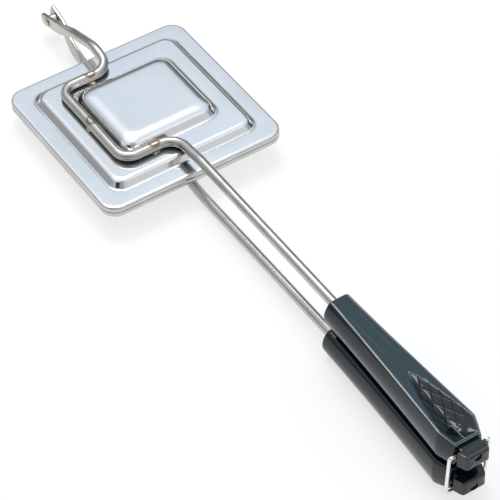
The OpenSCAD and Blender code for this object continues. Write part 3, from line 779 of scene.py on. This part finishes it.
def recess_half(s):
    """Half width of the recess: a pointed arch that ends inside the rim."""
    arch = np.clip((s - RECESS_TIP) / (WIDEST - RECESS_TIP), 0, 1) ** 0.62
    return np.where(s < WIDEST, (TOP_WIDE - RECESS_RIM) * arch, top_half(s) - RECESS_RIM)


# %% [markdown]
# ## The thumb recess
# The recess is a bowl under a pointed arch with a rounded far end. Cutting it with another body
# would leave ragged triangles, so the grid's own points are pushed down: the outline through
# each point is found by halving, and a section gives its depth. Crossed grooves make a grip of
# diamonds, and a rib stands at the far end, its ridge painted pale as wear and as a highlight.

# %% Outlines and section of the bowl
MIDDLE = WIDEST + 1.0  # station of the deepest place
RECESS_BOTTOM = 4.3


def size_in_recess(s, y):
    """Size from 0 at the deepest place to 1 at the rim of the outline that passes here,
    found by halving: at size k the half width is k times that at middle + (s - middle) / k."""
    low, high = np.full(s.shape, 1e-3), np.ones(s.shape)
    for _ in range(26):  # 26 halvings, to a size within 0.00000002
        k = (low + high) / 2
        reach = MIDDLE + (s - MIDDLE) / k
        past = np.clip((reach - WIDEST) / (RECESS_FAR - WIDEST), 0, 1)
        turned_in = 2.2 + 30 * k ** 8  # the end gets rounder further in
        half = recess_half(reach) * k * (1 - past ** turned_in) ** (1 / turned_in)
        half = np.where((reach > RECESS_TIP) & (reach < RECESS_FAR), half, -1.0)
        inside = np.abs(y) <= half
        high = np.where(inside, k, high)
        low = np.where(inside, low, k)
    return high


# Steep just inside the rim, an even slope, and a rounded bottom: slants summed from the rim in
BOWL_SIZE = np.linspace(0, 1, 201)
slant = np.clip((1 - BOWL_SIZE) / 0.10, 0, 1) ** 0.6 * np.clip(BOWL_SIZE / 0.42, 0, 1)
BOWL_DEPTH = np.cumsum(slant[::-1])[::-1] - slant
BOWL_DEPTH *= RECESS_BOTTOM / BOWL_DEPTH[0]
print("depth half way in:", np.interp(0.5, BOWL_SIZE, BOWL_DEPTH).round(2), "mm")


# %% Diamonds and rib
DIAMOND_TILT, DIAMOND_PITCH, GROOVE_HALF, GROOVE_DEEP = radians(22.5), 4.3, 0.24, 0.3
DIAMOND_STOP, DIAMOND_FADE, RIM_FADE = RECESS_FAR - 9.0, 2.0, 0.06
RIB_FROM, RIB_DEEP, RIB_HALF = 242.5, 0.9, 0.8


def off_rib(s, y):
    """Distance from the rib's middle line, which runs a little across the recess."""
    return y + 2.0 - (s - 246.0) * 0.17


def recess_depth(s, y):
    """Bowl that follows its section, plus grooves of section exp(-(off / half)^2). The rib cuts
    it off: its ridge slopes across, its flanks fall with off^4 and its front with the square."""
    k = size_in_recess(s, y)
    inside = (s > RECESS_TIP) & (s < RECESS_FAR) & (np.abs(y) < recess_half(s))
    grooves = 0.0
    for tilt in (DIAMOND_TILT, -DIAMOND_TILT):
        across = (y * cos(tilt) - (s - RECESS_TIP) * sin(tilt)) / DIAMOND_PITCH
        off = np.abs(across - np.round(across)) * DIAMOND_PITCH
        grooves = np.maximum(grooves, np.exp(-(off / GROOVE_HALF) ** 2))
    fade = np.clip((1 - k) / RIM_FADE, 0, 1) * np.clip((DIAMOND_STOP - s) / DIAMOND_FADE, 0, 1)
    depth = np.interp(k, BOWL_SIZE, BOWL_DEPTH) + GROOVE_DEEP * grooves * fade
    beside = off_rib(s, y)
    beyond = np.clip(RIB_FROM - s, 0, None)
    rib = RIB_DEEP - 0.2 * beside + 2.5 * (beside / RIB_HALF) ** 4 + 3.0 * beyond ** 2
    return np.where(inside, np.minimum(depth, rib), 0.0)


# %% [markdown]
# ## Rings of the moulding
# Cut across, the handle has a flat top, an eased edge, a bulging side and a flat inner face.
# Each bend is a quadratic curve. One column of the flat runs exactly along the recess's rim,
# with the others spread on both sides of it, which keeps that edge clean.

# %% Half a section
def spread(low, high, count):
    """Even numbers from low to high, the last left out."""
    return np.linspace(low, high, count + 1)[:-1]


COLUMN_IN = np.concatenate([spread(0, 0.9, 38), spread(0.9, 1.0, 9), [1.0]])
COLUMN_OUT = np.array([0.15, 0.4, 0.75])
EASE_W, EASE_TILT = 0.4, radians(10)  # the top's edge slopes a little before it rounds


def bend(first, pull, last, t):
    """Quadratic curve: first (1 - t)^2 + 2 pull t (1 - t) + last t^2."""
    return first * (1 - t) ** 2 + pull * 2 * t * (1 - t) + last * t ** 2


def section(a, b, c, top, bottom, rim, edge=0.5, lower_edge=1.8):
    """Half section, top middle to bottom middle: flat with the rim's column at `rim`, an eased
    strip, a small rounding, a side that bends from a through b to c, a rounding, and the inner
    face."""
    a, b, c, top, bottom, rim = [v[:, None] for v in np.broadcast_arrays(a, b, c, top, bottom, rim)]
    flat_end = a - edge
    w = np.linspace(0, 1, 6)[:-1]
    y_top = np.concatenate([rim * COLUMN_IN, rim + (flat_end - EASE_W - rim) * COLUMN_OUT,
                            flat_end - EASE_W * (1 - w)], 1)
    z_ease = top - EASE_W * tan(EASE_TILT) * (0.5 * w + 0.25 * w ** 2)
    z_top = np.concatenate([np.broadcast_to(top, y_top[:, :-5].shape), z_ease], 1)
    eased = top - EASE_W * tan(EASE_TILT) * 0.75

    def side(t):
        return bend(a, 2 * b - (a + c) / 2, c, t), bend(top, (top + bottom) / 2, bottom, t)
    first, last = edge / (top - bottom), 1 - lower_edge / (top - bottom)
    (start_y, start_z), (end_y, end_z) = side(first), side(last)
    u, v = np.linspace(0, 1, 7), np.linspace(0, 1, 6)
    y_edge = bend(flat_end, a, start_y, u)
    z_edge = bend(eased, eased - edge * tan(EASE_TILT), start_z, u)
    y_side, z_side = side(first + (last - first) * np.linspace(0, 1, 16)[1:-1])
    y_low = bend(end_y, c, c - lower_edge, v)
    z_low = bend(end_z, bottom, bottom, v)
    y_in = (c - lower_edge) * np.array([0.7, 0.4, 0.0])
    return (np.concatenate([y_top, y_edge, y_side, y_low, y_in], 1),
            np.concatenate([z_top, z_edge, z_side, z_low, np.broadcast_to(bottom, y_in.shape)], 1))


# %% Whole rings
def whole_ring(s, y, z):
    """Both halves of the section as one closed ring in the handle's frame."""
    s = np.broadcast_to(np.asarray(s, float)[:, None], y.shape)
    right = np.stack([s, y, z], -1)
    left = right[:, -2:0:-1] * [1, -1, 1]
    return np.concatenate([right, left], 1)


def grip_rings(s, inset):
    """Rings of the grip at stations s, drawn in by inset."""
    share = (s - GRIP_FRONT) / GRIP_L
    a = top_half(s)
    b = a + BULGE_FRONT + (BULGE_END - BULGE_FRONT) * share
    rim = np.maximum(recess_half(s), 0.45)
    y, z = section(a - inset, b - inset, a + INNER_EXTRA - inset, top_at(s) - inset,
                   -INNER_H + inset, np.minimum(rim, a - inset - 1.15))
    rings = whole_ring(s, y, z)
    on_top = np.abs(rings[..., 2] - (top_at(s) - inset)[:, None]) < 1e-9
    depth = recess_depth(rings[..., 0], rings[..., 1])
    rings[..., 2] -= np.where(on_top, depth, 0.0)
    return rings


def block_ring(s, half, top, bottom, edge=0.5):
    """Ring of a block with rounded corners: the neck or the knob."""
    one = np.ones(1)
    y, z = section(half * one, half * one, half * one, top * one, bottom * one,
                   (half - edge) * 0.8 * one, edge, edge)
    return whole_ring(s * one, y, z)


def round_ring(like, s, radius):
    """Circle with each point in the direction of the point of another ring."""
    angle = np.arctan2(like[..., 2], like[..., 1])
    return np.stack([np.full_like(angle, s), radius * np.cos(angle), radius * np.sin(angle)], -1)

# %% [markdown]
# ## One skin from front to knob
# The rings start inside the rod's hole, turn over the front edge, run along the grip, drop to
# the neck, climb the knob and end inside the screw's hole, so the handle is one closed skin.
# Beside each ring go its marks: the long edges, the recess's far rim and the rib's ridge are
# painted pale, as wear and as a highlight in one, and the whole flat top gets a painted sheen.

# %% Wear and painted highlight
# Shares of the pale edge mark, wear and painted highlight in one, across and along the handle.
SIDE_WEAR_AND_HIGHLIGHT = np.concatenate([np.zeros(len(COLUMN_IN) + len(COLUMN_OUT)),
                            [0, 0.2, 0.7, 1, 1, 1, 1, 0.8, 0.5, 0.2, 0, 0], np.zeros(23)])
RIM_COLUMN = len(COLUMN_IN) - 1
TOP_COLUMNS = (np.arange(len(SIDE_WEAR_AND_HIGHLIGHT)) < 58) * 1.0
RIM_WEAR_AND_HIGHLIGHT, RIM_WEAR_AND_HIGHLIGHT_FROM, RIM_WEAR_AND_HIGHLIGHT_OVER = 0.7, RECESS_FAR - 16, 10
RIDGE_HALF = 0.3
BACK_WEAR_AND_HIGHLIGHT = [1.0, 0.9, 0.3, 0]
KNOB_WEAR_AND_HIGHLIGHT = [0, 0.2, 0.1, 0, 0, 0.1, 0.2, 0.2, 0.1, 0, 0, 0, 0]


def wear_and_highlight_of(rings, across, along):
    """Wear and painted highlight of each point: along the long edges, and the same on the whole top
    of chosen rings.
    """
    across = np.broadcast_to(across, len(rings))[:, None]
    half = np.maximum(SIDE_WEAR_AND_HIGHLIGHT * along, TOP_COLUMNS * across)
    s = rings[:, 0, 0]
    at_rim = np.clip((s - RIM_WEAR_AND_HIGHLIGHT_FROM) / RIM_WEAR_AND_HIGHLIGHT_OVER, 0, 1) * (s < RECESS_FAR + 0.2)
    half[:, RIM_COLUMN] = np.maximum(half[:, RIM_COLUMN], at_rim * RIM_WEAR_AND_HIGHLIGHT)
    both = np.concatenate([half, half[:, -2:0:-1]], 1)
    s, y, z = np.moveaxis(rings, -1, 0)
    on_ridge = (s > RIB_FROM) & (s < RECESS_FAR) & (z > 0)
    return np.maximum(both, on_ridge * np.exp(-(off_rib(s, y) / RIDGE_HALF) ** 2))


# %% Front, knob and back
FRONT_R, BACK_R = 0.9, 0.45  # roundings of the grip's two ends
BORE_R, HOLE_R, HOLE_DEEP = 3.05, 2.2, 3.4  # the rod's hole, and the screw's


def knob_half(s):
    """Half width of the knob, from one end to the other in a straight line."""
    return KNOB_BACK + (KNOB_END - KNOB_BACK) * (s - KNOB_START) / KNOB_L


def knob_rings():
    """A small rounding, straight flanks, and an end that rounds by 1 - cos as it goes by sin."""
    rings = [block_ring(KNOB_START + on, KNOB_BACK - inset, KNOB_TOP - inset, inset - KNOB_INNER)
             for on, inset in ((0.0, 0.4), (0.12, 0.12), (0.4, 0.0))]
    turn_at = KNOB_STOP - KNOB_CUT - FRONT_R
    rings += [block_ring(s, knob_half(s), KNOB_TOP, -KNOB_INNER) for s in (turn_at - 0.4, turn_at)]
    for q in np.linspace(0, pi / 2, 9)[1:]:
        fall, out = KNOB_CUT * (1 - cos(q)), (KNOB_CUT + FRONT_R) * sin(q)
        rings.append(block_ring(turn_at + out, knob_half(turn_at + out) - 0.35 * (1 - cos(q)),
                                KNOB_TOP - fall, -KNOB_INNER + fall, 0.7))
    return np.concatenate(rings)


def grip_stations():
    """Rows of the grip: few on the plain front, under 0.25 mm apart over the recess, and closer
    still towards its far rim."""
    return np.concatenate([
        np.linspace(GRIP_FRONT + FRONT_R, RECESS_TIP - 0.05, 34),
        np.linspace(RECESS_TIP + 0.05, RECESS_TIP + 3, 14)[:-1],
        np.linspace(RECESS_TIP + 3, RECESS_FAR - 2, 200)[:-1],
        RECESS_FAR - 2 * np.linspace(1, 0, 22) ** 1.6,
        np.linspace(RECESS_FAR + 0.12, GRIP_END - BACK_R, 4)])


# %% The handles
def handle_rings():
    """All rings of the moulding, and two marks at their points: pale edges, which are wear and
    painted highlight, and the flat top's painted sheen.
    """
    front = np.concatenate([grip_rings(np.array([GRIP_FRONT + FRONT_R * (1 - cos(q))]),
                                       FRONT_R * (1 - sin(q)))
                            for q in np.linspace(0, pi / 2, 6)[:-1]])
    bore = np.concatenate([round_ring(front[:1], GRIP_FRONT + inward, radius) for inward, radius
                           in ((8.0, BORE_R), (0.2, BORE_R), (0.0, BORE_R + 0.2))]
                          + [front[:1] * [1, 0.75, 0.75]])
    stations = grip_stations()
    body = grip_rings(stations, 0.0)
    back = np.concatenate([grip_rings(np.array([GRIP_END - BACK_R + BACK_R * sin(q)]),
                                      BACK_R * (1 - cos(q)))
                           for q in np.linspace(0, pi / 2, 5)[1:]])
    neck = np.concatenate([block_ring(s, NECK_HALF, NECK_TOP, -KNOB_INNER)
                           for s in (GRIP_END, KNOB_START)])
    knob = knob_rings()
    hole = np.concatenate([
        round_ring(knob[-1:], KNOB_STOP - inward, radius)
        for inward, radius in ((0.0, HOLE_R + 0.15), (0.15, HOLE_R), (HOLE_DEEP, HOLE_R))])
    at_far_rim = np.clip(1 - np.abs(stations - RECESS_FAR) / 0.25, 0, 1)
    # Pale edge marks that stand for wear and a painted highlight.
    worn_and_highlit = [(bore, 0, 0), (front, np.linspace(0, 0.8, len(front)), 1), (body, at_far_rim, 1),
            (back, BACK_WEAR_AND_HIGHLIGHT, 1), (neck, 0, 0), (knob, KNOB_WEAR_AND_HIGHLIGHT, 0.4), (hole, 0, 0)]
    rings = np.concatenate([some for some, _, _ in worn_and_highlit])
    wear_and_highlight = np.concatenate([wear_and_highlight_of(*some) for some in worn_and_highlit])
    below_top = top_at(rings[..., 0]) - rings[..., 2]
    # Painted sheen over the flat top of the grip.
    sheen_painted = np.clip((0.35 - below_top) / 0.3, 0, 1) * (rings[..., 0] < GRIP_END)
    return rings, {"edge_wear": np.append(wear_and_highlight.ravel(), [0, 0]),
                   "handled_top": np.append(sheen_painted.ravel(), [0, 0])}


def on_rod(points, back):
    """From the handle's frame, x along the rod, to the iron's: moved back, tilted, lifted."""
    s, y, z = np.moveaxis(points, -1, 0)
    s = s - back
    return np.stack([FRONT_X + s * cos(ROD_SLOPE) + z * sin(ROD_SLOPE), y,
                     ROD_FRONT_H - s * sin(ROD_SLOPE) + z * cos(ROD_SLOPE)], -1)


moulding, marks = handle_rings()
for name, half, body in HALVES:
    piece(f"{name}_moulded_handle", [skin(on_rod(moulding, SET_BACK[half]))], half, body,
          f"{name}_handle", handle_plastic, crisp=32, marks=marks)

# %% [markdown]
# ## The screws
# A screw goes through the knob's end into the rod and pulls the handle tight. Only its head
# shows, deep in its hole: a turned shape with a slot, where points near the middle line of the
# head are pushed in.

# %% Slotted screws
SCREW_SEAT = KNOB_STOP - 2.8  # station that the head sits on
SLOT_HALF, SLOT_FLOOR = 0.4, 1.2  # half width, and height of its floor above the seat


def screw_rings(columns=96):
    """Shank and domed head round the X axis, from rows of (height above the seat, radius), the
    dome as 1 - k^2. Points within the slot's half width come down to its floor."""
    rows = [(-14.0, 0.9), (-13.4, 1.25), (0, 1.25), (0, 1.9), (0.15, 2.0), (1.3, 2.0), (1.7, 1.85)]
    rows += [(1.7 + 0.3 * (1 - k ** 2), 1.85 * k) for k in np.linspace(1, 0.02, 28)[1:]]
    height, radius = np.array(rows).T[..., None]
    angle = np.arange(columns) * 2 * pi / columns
    y, z = radius * np.cos(angle), radius * np.sin(angle)
    height = np.broadcast_to(height, y.shape)
    height = np.where(np.abs(y) < SLOT_HALF, np.minimum(height, SLOT_FLOOR), height)
    return np.stack([SCREW_SEAT + height, y, z], -1)


for name, half, body in HALVES:
    piece(f"{name}_slotted_screw", [skin(on_rod(screw_rings(), SET_BACK[half]))], half, body,
          f"{name}_handle_screw", screw_steel, crisp=30)

# %% [markdown]
# ## The bail
# The bail is one piece of 2 mm wire. Its ends are bent in and sit in small holes in the upper
# handle's neck, on which it swings. Short arms climb from them to the legs, and the crossbar
# hooks behind the lower knob. Its length is whatever lets it swing just past that knob. It
# hangs nearly upright, leaning back a little, and is carried along its bent centre line.

# %% Length and lean of the bail
WIRE_R, LEG_Y, BAIL_CORNER, BAIL_RISE = 1.0, 12.5, 3.0, 1.5
PIVOT_DROP, PIVOT_DEPTH, ARM_OUT = 1.4, 3.0, 1.2  # below the rod's middle, into the neck, out
BAIL_GAP, FIT = 0.15, 0.05
pivot_s = GRIP_END + GROOVE / 2
pivot_h = ROD_FRONT_H - pivot_s * sin(ROD_SLOPE) - PIVOT_DROP
corner_x = KNOB_STOP - LOWER_BACK - KNOB_CUT - pivot_s
corner_z = pivot_h + ROD_FRONT_H - KNOB_STOP * sin(ROD_SLOPE) + KNOB_TOP
bail_l = hypot(corner_x, corner_z) + WIRE_R + BAIL_GAP
bail_lean = np.arcsin(LOWER_BACK / bail_l)
pivot = on_rod(np.array([pivot_s, 0.0, -PIVOT_DROP]), 0.0)
print(f"bail: {bail_l:.2f} mm long, leans {degrees(bail_lean):.2f} degrees,",
      "pivot at", pivot.round(3))

# %% Bent wire
tip_y, arm_y = NECK_HALF - PIVOT_DEPTH + FIT, NECK_HALF + ARM_OUT
right_side = [(0, LEG_Y, -bail_l), (0, LEG_Y, BAIL_RISE), (0, arm_y, 0), (0, tip_y, 0)]
bail_corners = [(x, -y, z) for x, y, z in right_side[::-1]] + right_side
wire, wire_ways = centre_line(bail_corners, [0, 2, 1.3, BAIL_CORNER, BAIL_CORNER, 1.3, 2, 0], 0.3)
lean = np.array([[cos(bail_lean), 0, sin(bail_lean)], [0, 1, 0],
                 [-sin(bail_lean), 0, cos(bail_lean)]])
wire, wire_ways = wire @ lean.T + pivot, wire_ways @ lean.T
wire_rings = carried(wire, wire_ways, lean @ [1, 0, 0], WIRE_R, WIRE_R, columns=24)
piece("bent_wire_bail", [skin(wire_rings)], UPPER, "bail", "bail", wire_steel)

# %% [markdown]
# ## Floor
# The iron rests on the lower plate's middle and on the lower handle, so the plain pale floor
# lies a little tilted under it. The half that is swung open comes down beyond the rivet, so the
# floor falls on that side too, over a rounded ridge. The camera and reflections see it lighter
# than its light alone makes it, which gives a white background that keeps the shadow.

# %% Floor
LEAN_FROM, LEAN_TO = (-24.7, 0.0), (197.7, -6.4)  # x and z of the two places that touch it
FLOOR_HALF, RIDGE_R, FLOOR_GAP = 12.0, 0.02, 0.00005  # in metres
floor_slope = (LEAN_TO[1] - LEAN_FROM[1]) / (LEAN_TO[0] - LEAN_FROM[0])


def floor_height(x):
    """Height in metres at x metres: slope times sqrt(distance from the rivet^2 + RIDGE_R^2),
    set so that it just clears the plate's middle."""
    off_ridge = np.sqrt((x - HINGE_X * MM) ** 2 + RIDGE_R ** 2)
    return ((HINGE_X - LEAN_FROM[0]) * MM + off_ridge) * floor_slope - FLOOR_GAP


far_off = [0.5, 2.0, FLOOR_HALF]
off_rivet = np.concatenate([-np.array(far_off[::-1]), np.linspace(-0.15, 0.15, 31), far_off])
floor_x, floor_y = np.meshgrid(HINGE_X * MM + off_rivet,
                               np.linspace(-FLOOR_HALF, FLOOR_HALF, 5), indexing="ij")
floor_points = np.stack([floor_x, floor_y, floor_height(floor_x)], -1).reshape(-1, 3)
floor_mesh = bpy.data.meshes.new("studio_floor")
floor_mesh.from_pydata(floor_points, [], net(*floor_x.shape, around=False).tolist())
floor_mesh.shade_smooth()
floor = bpy.data.objects.new("studio_floor", floor_mesh)
bpy.context.scene.collection.objects.link(floor)
floor_paint, floor_shader, floor_place = new_finish("pale_floor")
seen_by = [floor_place.node("ShaderNodeLightPath", out=ray)
           for ray in ("Is Camera Ray", "Is Glossy Ray", "Is Transmission Ray")]
floor_seen = seen_by[0].most(seen_by[1]).most(seen_by[2])
feed(floor_shader, Base_Color=(0.34, 0.34, 0.34), Roughness=0.9, Emission_Strength=0.66,
     Emission_Color=floor_seen.blend((0.0, 0.0, 0.0), (1.0, 1.0, 1.0)))
floor_shader.inputs["Specular IOR Level"].default_value = 0.0
floor_mesh.materials.append(floor_paint)
print(f"floor: falls {-degrees(atan2(floor_slope, 1)):.2f} degrees on both sides of the rivet")

# %% [markdown]
# ## Light
# Bright metal shows its surroundings, so the room matters as much as the lamps. This one is
# bright overhead, cooler at the sides and darker near the horizon. Dark patches stand in for
# camera, stands and far walls, and draw the lines along the plates' folds. Pale ones are
# windows and a glow overhead. Each patch is full within one angle of its direction and gone
# beyond another.

# %% World
world = bpy.data.worlds.new("studio")
bpy.context.scene.world = world
world.use_nodes = True
tree = world.node_tree
backdrop = tree.nodes["Background"]
way = Signal(tree.nodes.new("ShaderNodeTexCoord").outputs["Generated"])
high = way.part("Z")
dome_light = high.node("ShaderNodeValToRGB", {"stops": [
    (0.00, (0.60, 0.60, 0.60)), (0.02, (0.36, 0.36, 0.36)), (0.20, (0.38, 0.385, 0.39)),
    (0.36, (0.44, 0.45, 0.46)), (0.52, (0.64, 0.68, 0.73)), (0.72, (0.82, 0.92, 1.02)),
    (0.90, (0.84, 0.90, 0.96)), (1.00, (0.84, 0.89, 0.94))]}, {"Fac": high})


def patch(towards, gone, full):
    """1 within `full` degrees of a direction, 0 beyond `gone` degrees of it."""
    return way.maths("DOT_PRODUCT", towards).step(cos(radians(gone)), cos(radians(full)))


CAMERA_WAY = (0.59068, -0.36646, 0.71889)
DARK_PATCHES = [  # direction, gone, full and darkness
    (CAMERA_WAY, 24, 9, 0.55), ((0.03, 0.98, 0.18), 20, 12, 0.8),
    ((-0.98, -0.03, 0.15), 20, 10, 0.6), ((-0.58, 0.74, 0.32), 22, 12, 0.6),
    ((-0.90, 0.33, 0.28), 20, 11, 0.5)]
dark_part = patch((0.46, -0.80, 0.40), 19, 13) * high.step(0.28, 0.34) * 0.98
for towards, gone, full, darkness in DARK_PATCHES:
    dark_part = dark_part.most(patch(towards, gone, full) * darkness)
low_window = patch((0.90, 0.37, 0.28), 24, 14) * high.step(0.50, 0.42) * high.step(0.06, 0.24)
side_window = patch((0.63, 0.37, 0.68), 15, 8)
glow = patch(tuple(Vector((-0.22, -0.02, 0.975)).normalized()), 38, 16)
room = covered(dome_light, (dark_part, (0.018, 0.018, 0.02)),
               (low_window * 0.9, (0.76, 0.77, 0.78)), (side_window * 0.9, (1.05, 1.05, 1.05)),
               (glow, (1.22, 1.22, 1.22)))
tree.links.new(room.socket, backdrop.inputs["Color"])
print("studio:", len(DARK_PATCHES) + 1, "dark patches, 3 pale ones,", len(tree.nodes), "nodes")

# %% [markdown]
# ## Lamp
# One broad lamp high over the plates' side adds a soft direction and a faint shadow.

# %% Lamp
KEY_WAY, KEY_FAR = Vector((-0.362, 0.121, 0.924)).normalized(), 1.8
lamp = bpy.data.lights.new("key_lamp", "AREA")
lamp.shape = "DISK"
lamp.size = 0.90
lamp.energy = 12.0
lamp_object = bpy.data.objects.new("key_lamp", lamp)
bpy.context.scene.collection.objects.link(lamp_object)
middle_of_iron = Vector((0.08, 0.0, 0.02))
lamp_from = middle_of_iron + KEY_FAR * KEY_WAY
lamp_object.matrix_world = Matrix.Translation(lamp_from) @ (
    KEY_WAY.to_track_quat("Z", "Y").to_matrix().to_4x4())
print(f"lamp: {lamp.size:.2f} m wide, {lamp.energy:.0f} W, {KEY_FAR} m away")

# %% [markdown]
# ## Camera
# The photograph was taken from above and to one side with a long lens. The camera's place and
# turn were found from the plate's edges and the rods. The matrix's columns are its right, up
# and back, and where it stands.

# %% Camera
camera = bpy.data.cameras.new("photo_angle")
camera.lens, camera.sensor_width = 177.83, 36.0
camera.clip_start, camera.clip_end = 0.05, 100.0
camera_object = bpy.data.objects.new("photo_angle", camera)
bpy.context.scene.collection.objects.link(camera_object)
camera_object.matrix_world = Matrix((
    (0.54865, -0.59168, 0.59068, 0.9377), (0.83568, 0.40907, -0.36646, -0.5121),
    (-0.0248, 0.69468, 0.71889, 1.0029), (0, 0, 0, 1)))
bpy.context.scene.camera = camera_object
bpy.context.scene.view_settings.view_transform = "Standard"
print(f"camera: {camera.lens} mm lens at {[round(v, 2) for v in camera_object.location]}")
